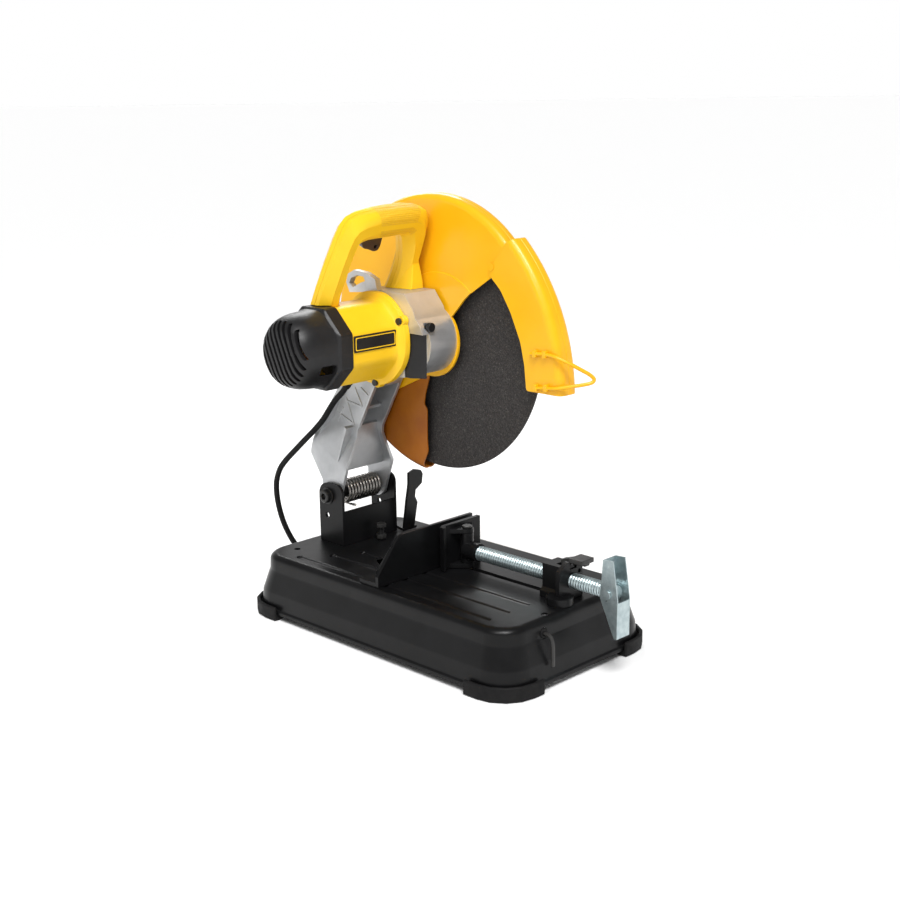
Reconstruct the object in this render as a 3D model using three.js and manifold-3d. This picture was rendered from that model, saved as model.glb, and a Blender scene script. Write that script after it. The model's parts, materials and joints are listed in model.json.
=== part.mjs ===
// Abrasive chop saw: a pressed steel base with a screw vise, and a sprung arm that carries
// the motor, the gear case, the guards and a 354 mm abrasive wheel.
// Millimetres. X runs to the operator's right, Y to the rear, Z up.
// The working axes below are measured from the middle of the base, on the floor.
import * as THREE from 'three';
import { mergeVertices } from 'three/addons/utils/BufferGeometryUtils.js';
import Module from 'manifold-3d';

const wasm = await Module();
wasm.setup();

// ---------------------------------------------------------------- driving dimensions
const GAP = 0.3;                       // space between pieces that touch

const BASE = { width: 276, length: 482, corner: 45, bottom: 7.5, top: 83, sheet: 2.5 };
const FOOT = { proud: 5, under: 16, height: 19, reachX: 62, reachY: 66 };

const PIVOT = { y: 186, z: 150 };      // axis on which the arm tips
const SPINDLE = { y: 56, z: 374 };     // wheel axis with the arm up
const GEARS = { module: 1.6, pinionTeeth: 10, wheelTeeth: 40, left: 20.5, right: 30 };
const CENTRES = GEARS.module * (GEARS.pinionTeeth + GEARS.wheelTeeth) / 2;
const MOTOR_RISE = 3;                  // motor axis above the wheel axis
const MOTOR = { y: SPINDLE.y + Math.sqrt(CENTRES ** 2 - MOTOR_RISE ** 2), z: SPINDLE.z + MOTOR_RISE };

const WHEEL = { x: 60, radius: 177.5, thickness: 2.8, bore: 12.7 };
const GUARD = { left: 46, right: 74, sheet: 1.6, y: 60, z: 373, radius: 186.5 };
const FRONT_GUARD = { left: 43.5, right: 76.5, y: 100, z: 319.5, radius: 265.5 };

const ARM = { left: -8, right: 42, wall: 5, top: 178, tilt: 29.3 * Math.PI / 180 };
const BRACKET = { left: -34, right: 66, sheet: 4, front: 156, rear: 204, plateTop: 131, earRadius: 18 };
const PIN = { radius: 8, head: 11.6, left: -42, right: 77 };
const SPRING = { left: -8, right: 53, turns: 11, radius: 14.8, wire: 2.1, legZ: 136.5, front: 158, rear: 202 };

const CASE = {
  left: -14.7, right: 45.7, deck: 438, noseRadius: 45, motorRadius: 56, rim: 60, rimEnd: -8.4,
};
const LOCK = { x: -1, y: 10, z: 397, head: 6, stem: 3, travel: 4 };
const BAFFLE = { left: -14.4, right: -3.3, rear: 47.7, bottom: 330, top: 388 };
const HOUSING = { flange: -15, flangeEnd: -24, end: -103, apothem: 50, bore: 43.5, rim: 61 };
// Where the housing is screwed on: angle about the motor axis, from the rear towards the top.
const SCREW_ANGLES = { top: 16, front: 152, bottom: 266 };
const SCREW_RING = 58;
const CAP = { start: -103.3, collarEnd: -124, shoulder: -156, face: -180, wall: 3 };

const HANDLE = { y: 105, z: 427, tilt: 23.3 * Math.PI / 180, half: 17 };

const FENCE = {
  left: -116, right: 55, face: -3, sheet: 5, top: 143.5,
  pivotX: 46, pivotY: 14, slideX: -60, swivel: 0.7,
};
const WRENCH = { x: -58, y: -228, z: 66, radius: 2.4 };
const SCREW = { x: 18.7, z: 107, radius: 9.7, tip: -50.3, end: -276 };
const CRANK = { pinY: -270, inside: 10.5, sheet: 1.5, pin: 4 };
const JAW = { left: -18, right: 55, face: -11, sheet: 6, top: 143, pinY: -28, neckEnd: -40 };
const CORD = { radius: 4, coilX: 97, coilY: 309, coilRadius: 44, columns: 4, layers: 2 };

// ---------------------------------------------------------------- solids and helpers
const vec = (x, y, z) => new THREE.Vector3(x, y, z);
const rad = degrees => degrees * Math.PI / 180;

function solid(geometry) {
  const bare = geometry.clone();
  bare.deleteAttribute('normal');
  bare.deleteAttribute('uv');
  const merged = geometry.userData.shared ? bare : mergeVertices(bare, 1e-4);
  return new wasm.Manifold(new wasm.Mesh({
    numProp: 3,
    vertProperties: new Float32Array(merged.attributes.position.array),
    triVerts: new Uint32Array(merged.index.array),
  }));
}

function geometryOf(body) {
  const mesh = body.getMesh();
  const geometry = new THREE.BufferGeometry();
  geometry.setAttribute('position', new THREE.BufferAttribute(mesh.vertProperties, 3));
  geometry.setIndex(new THREE.BufferAttribute(mesh.triVerts, 1));
  geometry.computeVertexNormals();
  geometry.userData.shared = true;     // its vertices are merged already
  return geometry;
}

const join = (...pieces) => geometryOf(pieces.map(solid).reduce((a, b) => a.add(b)));
const cut = (blank, ...tools) => geometryOf(tools.map(solid).reduce((a, b) => a.subtract(b), solid(blank)));
const common = (a, b) => geometryOf(solid(a).intersect(solid(b)));

const at = (geometry, x, y, z) => geometry.clone().translate(x, y, z);
const turnX = (geometry, angle) => geometry.clone().rotateX(angle);
const turnY = (geometry, angle) => geometry.clone().rotateY(angle);
const turnZ = (geometry, angle) => geometry.clone().rotateZ(angle);

function box(x0, x1, y0, y1, z0, z1) {
  const block = new THREE.BoxGeometry(x1 - x0, y1 - y0, z1 - z0);
  return block.translate((x0 + x1) / 2, (y0 + y1) / 2, (z0 + z1) / 2);
}

function shapeOf(outline, holes = []) {
  const isShape = outline instanceof THREE.Shape;
  const shape = isShape ? outline : new THREE.Shape(outline.map(p => new THREE.Vector2(...p)));
  for (const hole of holes) shape.holes.push(hole);
  return shape;
}

// An outline of (x, y) points raised from z0 to z1.
function slab(outline, z0, z1, holes = [], curveSegments = 8) {
  const options = { depth: z1 - z0, bevelEnabled: false, curveSegments };
  const geometry = new THREE.ExtrudeGeometry(shapeOf(outline, holes), options);
  return geometry.translate(0, 0, z0);
}

// An outline of (y, z) points carried from x0 to x1.
function sideways(outline, x0, x1, holes = [], curveSegments = 8) {
  const geometry = slab(outline, x0, x1, holes, curveSegments);
  return geometry.rotateX(Math.PI / 2).rotateZ(Math.PI / 2);
}

// An outline of (x, z) points carried from y0 to y1.
function endways(outline, y0, y1, holes = []) {
  const geometry = slab(outline, -y1, -y0, holes);
  return geometry.rotateX(Math.PI / 2);
}

function roundHole(x, y, radius) {
  return new THREE.Path().absarc(x, y, radius, 0, Math.PI * 2, true);
}

function disc(x, y, radius) {
  return new THREE.Shape().absarc(x, y, radius, 0, Math.PI * 2, false);
}

// A solid of revolution about X: the profile is [x, radius] pairs.
function turned(profile, segments = 24) {
  const points = profile.map(([x, r]) => new THREE.Vector2(r, -x));
  return new THREE.LatheGeometry(points.reverse(), segments).rotateZ(Math.PI / 2);
}

// A plain round bar or tube along X.
function bar(x0, x1, radius, segments = 20) {
  return turned([[x0, 0], [x0, radius], [x1, radius], [x1, 0]], segments);
}

function tube(x0, x1, outer, inner, segments = 20) {
  return turned([[x0, inner], [x0, outer], [x1, outer], [x1, inner], [x0, inner]], segments);
}

const alongY = geometry => turnZ(geometry, Math.PI / 2);
const alongZ = geometry => turnY(geometry, -Math.PI / 2);

// A hexagon head or nut along X.
const hexagon = (x0, x1, flats) => bar(x0, x1, flats / Math.sqrt(3), 6);

function wire(points, radius, sides, steps, closedPath = null) {
  const section = new THREE.Shape();
  for (let i = 0; i < sides; i++) {
    const a = 2 * Math.PI * i / sides;
    const p = [radius * Math.cos(a), radius * Math.sin(a)];
    if (i === 0) section.moveTo(...p);
    else section.lineTo(...p);
  }
  const path = closedPath ?? new THREE.CatmullRomCurve3(points, false, 'centripetal');
  return new THREE.ExtrudeGeometry(section, { steps, extrudePath: path, bevelEnabled: false });
}

// A solid through stacked closed rings of equally many points, capped at both ends.
function loft(rings) {
  const count = rings[0].length;
  const position = rings.flat(2);
  const index = [];
  for (let level = 0; level < rings.length - 1; level++) {
    for (let i = 0; i < count; i++) {
      const a = level * count + i;
      const b = level * count + (i + 1) % count;
      index.push(a, b, b + count, a, b + count, a + count);
    }
  }
  const last = (rings.length - 1) * count;
  for (let i = 1; i < count - 1; i++) {
    index.push(0, i + 1, i);
    index.push(last, last + i, last + i + 1);
  }
  const geometry = new THREE.BufferGeometry();
  geometry.setAttribute('position', new THREE.Float32BufferAttribute(position, 3));
  geometry.setIndex(index);
  return geometry;
}

// Points of a rounded rectangle about the origin at one height.
function roundedRing(width, length, corner, z, steps = 4) {
  const ring = [];
  for (const [sx, sy, start] of [[1, 1, 0], [-1, 1, 90], [-1, -1, 180], [1, -1, 270]]) {
    for (let i = 0; i <= steps; i++) {
      const a = rad(start + 90 * i / steps);
      const x = sx * (width / 2 - corner) + corner * Math.cos(a);
      const y = sy * (length / 2 - corner) + corner * Math.sin(a);
      ring.push([x, y, z]);
    }
  }
  return ring;
}

const machine = new THREE.Group();
const head = new THREE.Group();
const vise = new THREE.Group();
machine.add(head, vise);

const finishes = {
  black: { color: 0x232221, roughness: 0.45, metalness: 0.2 },
  rubber: { color: 0x1b1b1b, roughness: 0.9, metalness: 0 },
  yellow: { color: 0xf2b705, roughness: 0.4, metalness: 0 },
  yellowPaint: { color: 0xf5b800, roughness: 0.3, metalness: 0.1 },
  aluminium: { color: 0xb9bec0, roughness: 0.45, metalness: 0.8 },
  zinc: { color: 0xb4c6cc, roughness: 0.3, metalness: 0.9 },
  steel: { color: 0x8e8f90, roughness: 0.35, metalness: 0.9 },
  springSteel: { color: 0x8a8073, roughness: 0.3, metalness: 0.9 },
  plastic: { color: 0x1d1c1c, roughness: 0.5, metalness: 0 },
  abrasive: { color: 0x2c2a29, roughness: 0.95, metalness: 0 },
  copper: { color: 0xb06a3a, roughness: 0.4, metalness: 0.8 },
  iron: { color: 0x5d6064, roughness: 0.5, metalness: 0.7 },
};
const materials = Object.fromEntries(
  Object.entries(finishes).map(([name, values]) => [name, new THREE.MeshStandardMaterial(values)]));

function place(group, name, geometry, finish, x = 0, y = 0, z = 0) {
  const mesh = new THREE.Mesh(geometry, materials[finish]);
  mesh.name = name;
  mesh.position.set(x, y, z);
  group.add(mesh);
  return mesh;
}

// ---------------------------------------------------------------- base
// The side of the pan, from its rolled rim up to the table: [inset, height].
const PAN_SIDE = [
  [0, BASE.bottom], [0, 12], [3, 15], [4, 32], [12, 58], [13.5, 73], [16, 79.5], [22, BASE.top],
];

function panBlank(inset, drop) {
  return loft(PAN_SIDE.map(([side, z], level) => {
    const height = level === 0 ? z - drop * 4 : z - drop;
    const all = side + inset;
    return roundedRing(BASE.width - 2 * all, BASE.length - 2 * all, BASE.corner - all * 0.6, height);
  }));
}

function stadium(x, y0, y1, halfWidth) {
  const shape = new THREE.Shape();
  shape.absarc(x, y1 - halfWidth, halfWidth, 0, Math.PI, false);
  shape.absarc(x, y0 + halfWidth, halfWidth, Math.PI, 2 * Math.PI, false);
  return shape;
}

// The fence's second bolt slides along this arc as the fence swivels.
function swivelSlot() {
  const radius = FENCE.pivotX - FENCE.slideX;
  const end = Math.PI - FENCE.swivel;
  const [x, y] = [FENCE.pivotX, FENCE.pivotY];
  const slot = new THREE.Shape();
  slot.absarc(x, y, radius + 4.4, Math.PI + 0.04, end - 0.04, true);
  slot.absarc(x, y, radius - 4.4, end - 0.04, Math.PI + 0.04, false);
  return slot;
}

function basePan() {
  const shell = cut(panBlank(0, 0), panBlank(BASE.sheet, BASE.sheet));
  const grooves = [[-102.5, -183, 171], [-69, -183, 142], [-34, -183, 121]];
  const pressed = grooves.map(
    ([x, y0, y1]) => slab(stadium(x, y0, y1, 6), BASE.top - 1, BASE.top + 2, [], 4));
  const through = [
    slab(stadium(SCREW.x, -165, -8, 4.5), 60, BASE.top + 2, [], 4),
    slab(stadium(WHEEL.x, -150, 70, 8), 60, BASE.top + 2, [], 4),
    slab(disc(-83, 196, 4.5), 60, BASE.top + 2),
    slab(disc(-43, -216, 4.5), 60, BASE.top + 2),
    slab(disc(FENCE.pivotX, FENCE.pivotY, 4.4), 60, BASE.top + 2),
    slab(swivelSlot(), 60, BASE.top + 2, [], 10),
    at(alongY(bar(-20, 20, 7, 16)), WRENCH.x, WRENCH.y, WRENCH.z),
  ];
  return cut(shell, ...pressed, ...through);
}

function foot(sideX, sideY) {
  const outer = loft([0, FOOT.height].map(z => roundedRing(
    BASE.width + 2 * FOOT.proud, BASE.length + 2 * FOOT.proud, BASE.corner + FOOT.proud, z)));
  const inner = loft([-1, FOOT.height + 1].map(z => roundedRing(
    BASE.width - 2 * FOOT.under, BASE.length - 2 * FOOT.under, BASE.corner - FOOT.under, z)));
  const pan = loft([BASE.bottom - GAP, FOOT.height + 1].map(z => roundedRing(
    BASE.width + 2 * GAP, BASE.length + 2 * GAP, BASE.corner + GAP, z)));
  const farX = sideX * (BASE.width / 2 + 20);
  const farY = sideY * (BASE.length / 2 + 20);
  const nearX = sideX * (BASE.width / 2 - FOOT.reachX);
  const nearY = sideY * (BASE.length / 2 - FOOT.reachY);
  const corner = box(
    Math.min(farX, nearX), Math.max(farX, nearX), Math.min(farY, nearY), Math.max(farY, nearY), -2, 40);
  return common(cut(outer, inner, pan), corner);
}

function buildBase() {
  place(machine, 'base_pan', basePan(), 'black');
  for (const [end, sideY] of [['front', -1], ['rear', 1]]) {
    for (const [side, sideX] of [['left', -1], ['right', 1]]) {
      place(machine, `foot_${end}_${side}`, foot(sideX, sideY), 'rubber');
    }
  }
}

// ---------------------------------------------------------------- hinge
function hingeBracket() {
  const ear = new THREE.Shape();
  ear.moveTo(BRACKET.front, BASE.top + GAP);
  ear.lineTo(BRACKET.rear, BASE.top + GAP);
  ear.lineTo(BRACKET.rear, PIVOT.z);
  ear.absarc(PIVOT.y, PIVOT.z, BRACKET.earRadius, 0, Math.PI / 2, false);
  ear.lineTo(BRACKET.front + 12, PIVOT.z + BRACKET.earRadius);
  ear.quadraticCurveTo(BRACKET.front, PIVOT.z + 16, BRACKET.front, PIVOT.z + 4);
  const holes = () => [roundHole(PIVOT.y, PIVOT.z, 8.3), roundHole(PIVOT.y + 2, PIVOT.z - 28, 4)];
  const floor = BASE.top + GAP;
  const { left, right, sheet, front: start, rear, plateTop } = BRACKET;
  const front = box(left, right, start, start + sheet, floor, plateTop);
  const sole = box(left, right, start, rear, floor, floor + sheet);
  return join(
    sideways(ear.clone(), BRACKET.left, BRACKET.left + BRACKET.sheet, holes()),
    sideways(ear.clone(), BRACKET.right - BRACKET.sheet, BRACKET.right, holes()),
    front, sole);
}

function torsionSpring() {
  const steps = 8;
  const { left, right, turns, radius } = SPRING;
  const points = [vec(left, SPRING.front, SPRING.legZ)];
  for (let i = 0; i <= turns * steps; i++) {
    const a = -Math.PI / 2 + 2 * Math.PI * i / steps;
    const x = left + (right - left) * i / (turns * steps);
    points.push(vec(x, PIVOT.y - radius * Math.cos(a), PIVOT.z + radius * Math.sin(a)));
  }
  points.push(vec(right, SPRING.rear, SPRING.legZ));
  return wire(points, SPRING.wire, 6, turns * 9);
}

function buildHinge() {
  place(machine, 'hinge_bracket', hingeBracket(), 'black');
  const pin = join(
    bar(PIN.left, PIN.right, PIN.radius, 20), bar(PIN.left, BRACKET.left - GAP, PIN.head, 20));
  place(machine, 'hinge_pin', pin, 'plastic', 0, PIVOT.y, PIVOT.z);
  const nut = cut(hexagon(BRACKET.right + GAP, BRACKET.right + 9, 22), bar(60, 80, PIN.radius + GAP, 20));
  place(machine, 'hinge_nut', nut, 'plastic', 0, PIVOT.y, PIVOT.z);
  place(machine, 'torsion_spring', torsionSpring(), 'springSteel');
  const stop = join(bar(0, 24, 4, 12), hexagon(3, 8.5, 13), hexagon(18.5, 24, 13));
  place(machine, 'stop_bolt', alongZ(stop), 'plastic', 22, 141, BASE.top + GAP);
}

function sparkDeflector() {
  const outline = [
    [68, 0], [88, 0], [90, 40], [84, 50], [84, 60], [95, 68], [95, 82], [91, 88], [78, 92],
    [66.8, 88], [69, 70], [68, 44],
  ];
  const leaf = endways(outline, -2, 2);
  const foot = box(66.8, 93, -2, 22, 0, 4);
  return join(leaf, foot);
}

function buildDeflector() {
  const piece = turnX(sparkDeflector(), rad(9));
  place(machine, 'spark_deflector', piece, 'black', 0, 146, BASE.top + 1.2);
}

// ---------------------------------------------------------------- fence
function fenceBody() {
  const face = new THREE.Shape();
  face.moveTo(FENCE.left, BASE.top + GAP);
  face.lineTo(FENCE.right, BASE.top + GAP);
  face.lineTo(FENCE.right, FENCE.top);
  face.lineTo(-70, FENCE.top);
  face.quadraticCurveTo(-80, FENCE.top - 1, -86, FENCE.top - 10);
  face.lineTo(FENCE.left, BASE.top + 14);
  const plate = endways(face, FENCE.face, FENCE.face + FENCE.sheet);
  const sole = box(FENCE.left, FENCE.right, FENCE.face, 32, BASE.top + GAP, BASE.top + 5);
  const brace = [[0, BASE.top + 4], [30, BASE.top + 4], [30, BASE.top + 8], [0, BASE.top + 48]];
  const gusset = sideways(brace, -4, 0);
  const gussets = [FENCE.left + 30, -40, 12].map(x => at(gusset, x, 0, 0));
  const bolt = alongZ(bar(60, 100, 4.4, 16));
  const bolts = [FENCE.pivotX, FENCE.slideX].map(x => at(bolt, x, FENCE.pivotY, 0));
  return cut(join(plate, sole, ...gussets), ...bolts);
}

function buildFence() {
  place(machine, 'fence', fenceBody(), 'black');
  const bolt = alongZ(join(bar(-12, 6, 4, 12), hexagon(5.2, 11, 13)));
  place(machine, 'fence_bolt_pivot', bolt, 'plastic', FENCE.pivotX, FENCE.pivotY, BASE.top);
  place(machine, 'fence_bolt_slide', bolt, 'plastic', FENCE.slideX, FENCE.pivotY, BASE.top);
}

// ---------------------------------------------------------------- wheel wrench on the front of the base
function buildWrench() {
  const { x, y, z, radius } = WRENCH;
  const route = [
    vec(0, 18, 0), vec(0, 8, 0), vec(0, -3, 0), vec(0, -10, -2), vec(0, -14, -10), vec(0, -14, -38),
  ];
  place(machine, 'hex_wrench', wire(route, radius, 6, 10), 'plastic', x, y, z);
  const grommet = cut(alongY(bar(-1, 10, 6.7, 16)), alongY(bar(-4, 24, radius + 2 * GAP, 12)));
  place(machine, 'wrench_grommet', grommet, 'rubber', x, y, z);
}

// ---------------------------------------------------------------- vise
function viseBlock() {
  const outline = new THREE.Shape();
  outline.moveTo(-20, 0);
  outline.lineTo(20, 0);
  outline.lineTo(20, 8);
  outline.lineTo(14, 12);
  outline.lineTo(14, 42);
  outline.lineTo(-15, 42);
  outline.lineTo(-15, 12);
  outline.lineTo(-20, 8);
  const front = [[-27, 0], [17, 0], [17, 44], [12, 49], [-11, 49], [-26, 40]];
  const plate = cut(endways(front, -208, -202, [roundHole(11, 34, 2.8)]), box(-7, 6, -210, -200, 39, 60));
  const blank = endways(outline, -206, -171);
  const toe = slab(disc(-22, -205, 17), 0, 9);
  const cleft = box(-7, 6, -201, -186, 38, 60);
  const bore = at(alongY(bar(-230, -150, SCREW.radius + GAP, 24)), 0, 0, SCREW.z - BASE.top - GAP);
  return cut(join(blank, plate, toe), cleft, bore);
}

function nutLever() {
  const outline = new THREE.Shape();
  outline.moveTo(0, -4);
  outline.absarc(0, 0, 4.5, -Math.PI / 2, Math.PI / 2, false);
  outline.lineTo(-18, 10);
  outline.lineTo(-34, 6);
  outline.lineTo(-34, 1);
  outline.lineTo(-18, 2);
  const web = sideways(outline, -5, 4);
  const pad = box(-12, 11, -35, -14, 4, 10);
  return join(web, pad);
}

function jawBody() {
  const back = JAW.face - JAW.sheet;
  const plate = slab([
    [JAW.left + 8, JAW.face], [JAW.left, JAW.face - 4], [JAW.left - 1, JAW.face - 12],
    [JAW.left + 3, JAW.face - 12], [JAW.left + 9, back], [JAW.right, back], [JAW.right, JAW.face],
  ], BASE.top + 1, JAW.top);
  const lug = new THREE.Shape();
  lug.moveTo(SCREW.x - 22, back + 1);
  lug.lineTo(SCREW.x - 9, JAW.pinY - 2);
  lug.absarc(SCREW.x, JAW.pinY, 9, Math.PI + 0.3, 2 * Math.PI - 0.3, false);
  lug.lineTo(SCREW.x + 22, back + 1);
  const pinHole = () => [roundHole(SCREW.x, JAW.pinY, 4.3)];
  const lower = slab(lug.clone(), BASE.top + 1, BASE.top + 7, pinHole());
  const upper = slab(lug.clone(), JAW.top - 12, JAW.top - 6, pinHole());
  return join(plate, lower, upper);
}

// The barrel turns on the jaw's pin and holds the necked end of the screw.
function jawBarrel() {
  const barrel = alongZ(bar(BASE.top + 7 + GAP, JAW.top - 12 - GAP, 8.6, 20));
  const stem = at(alongY(bar(SCREW.tip - JAW.pinY + GAP, 0, 12.4, 20)), 0, 0, SCREW.z);
  const socket = at(alongY(bar(-60, JAW.neckEnd - JAW.pinY, 6.9, 20)), 0, 0, SCREW.z);
  const pinHole = alongZ(bar(60, 160, 4.3, 20));
  return cut(join(barrel, stem), socket, pinHole);
}

// A folded channel on a pin across the screw: its web is in front below and behind above.
function crankBody() {
  const side = [[7, 42], [-8, 43], [-15.5, -5], [-15, -53], [-11, -54], [11, -6]];
  const inner = CRANK.inside;
  const outer = CRANK.inside + CRANK.sheet;
  const frontWeb = [[-15.3, -8], [-13.8, -8], [-13.4, -53], [-15, -53]];
  const rearWeb = [[9.5, 12], [8, 12], [5.5, 42], [7, 42]];
  const channel = join(
    sideways(side, -outer, -inner), sideways(side, inner, outer),
    sideways(frontWeb, -outer, outer), sideways(rearWeb, -outer, outer));
  return cut(channel, bar(-20, 20, CRANK.pin + GAP, 16));
}

function buildVise() {
  const blockBottom = BASE.top + GAP;
  place(vise, 'vise_block', viseBlock(), 'black', SCREW.x, 0, blockBottom);
  place(vise, 'nut_lever', nutLever(), 'plastic', SCREW.x, -196, blockBottom + 46);
  const bare = join(
    alongY(bar(SCREW.end, SCREW.tip, SCREW.radius, 24)),
    alongY(bar(SCREW.tip - 2, JAW.neckEnd - GAP, 6.6, 20)));
  const screw = cut(bare, at(bar(-20, 20, CRANK.pin + GAP, 16), 0, CRANK.pinY, 0));
  place(vise, 'vise_screw', screw, 'zinc', SCREW.x, 0, SCREW.z);
  place(vise, 'crank', crankBody(), 'zinc', SCREW.x, CRANK.pinY, SCREW.z);
  const face = CRANK.inside + CRANK.sheet + GAP;
  const heads = [bar(-face - 2, -face, 6, 16), bar(face, face + 2, 6, 16)];
  const rivet = join(bar(-face, face, CRANK.pin, 16), ...heads);
  place(vise, 'crank_rivet', rivet, 'zinc', SCREW.x, CRANK.pinY, SCREW.z);
  place(vise, 'jaw', jawBody(), 'black');
  place(vise, 'jaw_barrel', jawBarrel(), 'black', SCREW.x, JAW.pinY, 0);
  const pinTop = JAW.top - 3;
  const pin = join(bar(BASE.top + 1.5, pinTop, 4, 16), bar(JAW.top - 6 + GAP, pinTop, 6.5, 16));
  place(vise, 'jaw_pin', alongZ(pin), 'plastic', SCREW.x, JAW.pinY, 0);
}

// ---------------------------------------------------------------- arm casting
// Arm outlines are (t, s): s runs up the arm from the pivot and t across it, to the rear.
const onArm = geometry => turnX(geometry, ARM.tilt).translate(0, PIVOT.y, PIVOT.z);

function armCasting() {
  const side = new THREE.Shape();
  side.moveTo(14, ARM.top);
  side.lineTo(14, 97);
  side.quadraticCurveTo(7, 78, -10, 48);
  side.lineTo(-18, 0);
  side.absarc(0, 0, 18, Math.PI, 1.75 * Math.PI, false);
  side.lineTo(24, 8);
  side.lineTo(60, 26);
  side.quadraticCurveTo(68, 34, 67, 90);
  side.lineTo(68, ARM.top);
  const silhouette = sideways(side, -40, 80);
  const [l, r, w] = [ARM.left, ARM.right, ARM.wall];
  const leftWall = [
    [l, 178], [l + w, 178], [l + w, 88], [-23, 50], [-23, -20], [-28, -20], [-28, 50], [l, 88],
  ];
  const rightWall = [
    [r - w, 178], [r, 178], [r, 88], [61, 50], [61, -20], [56, -20], [56, 50], [r - w, 88],
  ];
  const back = [[l, 178], [-28, 50], [-28, 30], [61, 30], [61, 50], [r, 88], [r, 178]];
  const walls = join(
    endways(leftWall, -30, 80),
    endways(rightWall, -30, 80),
    endways(back, 61, 80),
    common(sideways([[5, 34], [10, 34], [28, 97], [23, 97]], -28, 61), endways(back, 0, 80)),
    box(l, r, 10, 80, ARM.top - 7, ARM.top));
  const rib = box(l + 2, r - 2, 30, 64, 118, 123);
  const pin = bar(-60, 90, PIN.radius + GAP, 20);
  return onArm(cut(common(join(walls, rib), silhouette), pin));
}

// ---------------------------------------------------------------- gear case
const atSpindle = geometry => at(geometry, 0, SPINDLE.y, SPINDLE.z);
const atMotor = geometry => at(geometry, 0, MOTOR.y, MOTOR.z);
const inHead = { spindle: [0, SPINDLE.y, SPINDLE.z], motor: [0, MOTOR.y, MOTOR.z] };

function gearCase() {
  const deck = [
    [22, 395], [30, 418], [46, CASE.deck], [120, CASE.deck], [140, 415], [150, 390], [150, 350],
    [137, 332], [56, 329], [30, 337],
  ];
  const foot = onArm(box(ARM.left, ARM.right, 14, 68, ARM.top + GAP, 226));
  const loop = [[156, 444], [152, 455], [140, 461], [118, 459], [100, 452], [96, 436], [150, 431]];
  const eye = [[150, 443], [146, 450], [134, 454.5], [122, 453.5], [119, 448], [128, 445], [143, 438]];
  const lug = sideways(loop, CASE.left, -6);
  const blank = join(
    atSpindle(bar(CASE.left, CASE.right, CASE.noseRadius, 32)),
    atMotor(bar(CASE.left, 36, CASE.motorRadius, 32)),
    atMotor(bar(CASE.left, CASE.rimEnd, CASE.rim, 40)),
    sideways(deck, CASE.left, 40), lug, foot);
  return cut(blank,
    sideways(eye, -20, 0),
    atSpindle(bar(19, 31.5, 36, 32)),
    atSpindle(bar(12, 20, 6.3, 16)),
    atSpindle(bar(31, 60, 19.3, 24)),
    atMotor(bar(19, 31.5, 11.5, 20)),
    atMotor(bar(-20, -3.5, 14.3, 24)),
    atMotor(bar(-4, 20, 10.6, 20)),
    box(-20, BAFFLE.right + GAP, -9, BAFFLE.rear + GAP, BAFFLE.bottom - GAP, BAFFLE.top + GAP),
    at(alongY(bar(0, 30, LOCK.stem + 0.4, 12)), LOCK.x, 0, LOCK.z),
    at(alongY(bar(-20, 6 + LOCK.travel + 1, LOCK.head + 0.8, 20)), LOCK.x, LOCK.y, LOCK.z));
}

function airBaffle() {
  const { left, right, rear, bottom, top } = BAFFLE;
  return slab([[left, 38], [right, 18], [right, rear], [left, rear]], bottom, top);
}

function ringOfTeeth(teeth, bore, start) {
  const { module, left, right } = GEARS;
  const pitch = module * teeth / 2;
  const root = pitch - 1.3 * module;
  const tip = pitch + 0.8 * module;
  const shape = new THREE.Shape();
  for (let i = 0; i < teeth; i++) {
    const middle = start + 2 * Math.PI * i / teeth;
    const corners = [[root, -1.05], [tip, -0.35], [tip, 0.35], [root, 1.05]];
    for (const [radius, half] of corners) {
      const a = middle + half * module / radius;
      const p = [radius * Math.cos(a), radius * Math.sin(a)];
      if (i === 0 && half === -1.05) shape.moveTo(...p);
      else shape.lineTo(...p);
    }
  }
  const holes = bore ? [roundHole(0, 0, bore)] : [];
  return sideways(shape, left, right, holes);
}

function buildGearTrain() {
  const towardsMotor = Math.atan2(MOTOR.z - SPINDLE.z, MOTOR.y - SPINDLE.y);
  const space = Math.PI / GEARS.wheelTeeth;
  const gear = ringOfTeeth(GEARS.wheelTeeth, 8 + GAP, towardsMotor + space);
  place(head, 'driven_gear', gear, 'iron', ...inHead.spindle);
  const spindle = cut(
    join(bar(13, 20, 6, 20), bar(19.3, WHEEL.x + 2, 8, 20)),
    bar(44, 70, 5 + GAP, 16));
  place(head, 'spindle', spindle, 'steel', ...inHead.spindle);
  place(head, 'spindle_bearing', tube(32, 44, 19, 8 + GAP, 24), 'steel', ...inHead.spindle);
  const shaft = join(
    bar(-165, GEARS.right, 4.5, 16),
    ringOfTeeth(GEARS.pinionTeeth, 0, towardsMotor + Math.PI));
  place(head, 'armature_shaft', shaft, 'steel', ...inHead.motor);
}

// ---------------------------------------------------------------- wheel and its flanges
function buildWheel() {
  const half = WHEEL.thickness / 2;
  const [left, right] = [WHEEL.x - half, WHEEL.x + half];
  const wheel = tube(left, right, WHEEL.radius, WHEEL.bore, 56);
  place(head, 'wheel', wheel, 'abrasive', ...inHead.spindle);
  const inner = cut(
    join(bar(50, left - GAP, 30, 32), bar(left - 1, right - 0.2, WHEEL.bore - GAP, 24)),
    bar(40, 70, 8 + GAP, 20));
  place(head, 'inner_flange', inner, 'steel', ...inHead.spindle);
  const outer = cut(
    join(bar(right + GAP, 65, 30, 32), bar(64, 67.5, 16, 24)),
    bar(right, right + 1, 8 + 2 * GAP, 20),
    bar(50, 80, 5 + GAP, 16));
  place(head, 'outer_flange', outer, 'steel', ...inHead.spindle);
  const bolt = join(bar(46, 70, 5, 16), hexagon(67.5 + GAP, 73.8, 17));
  place(head, 'wheel_bolt', bolt, 'plastic', ...inHead.spindle);
}

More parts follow.
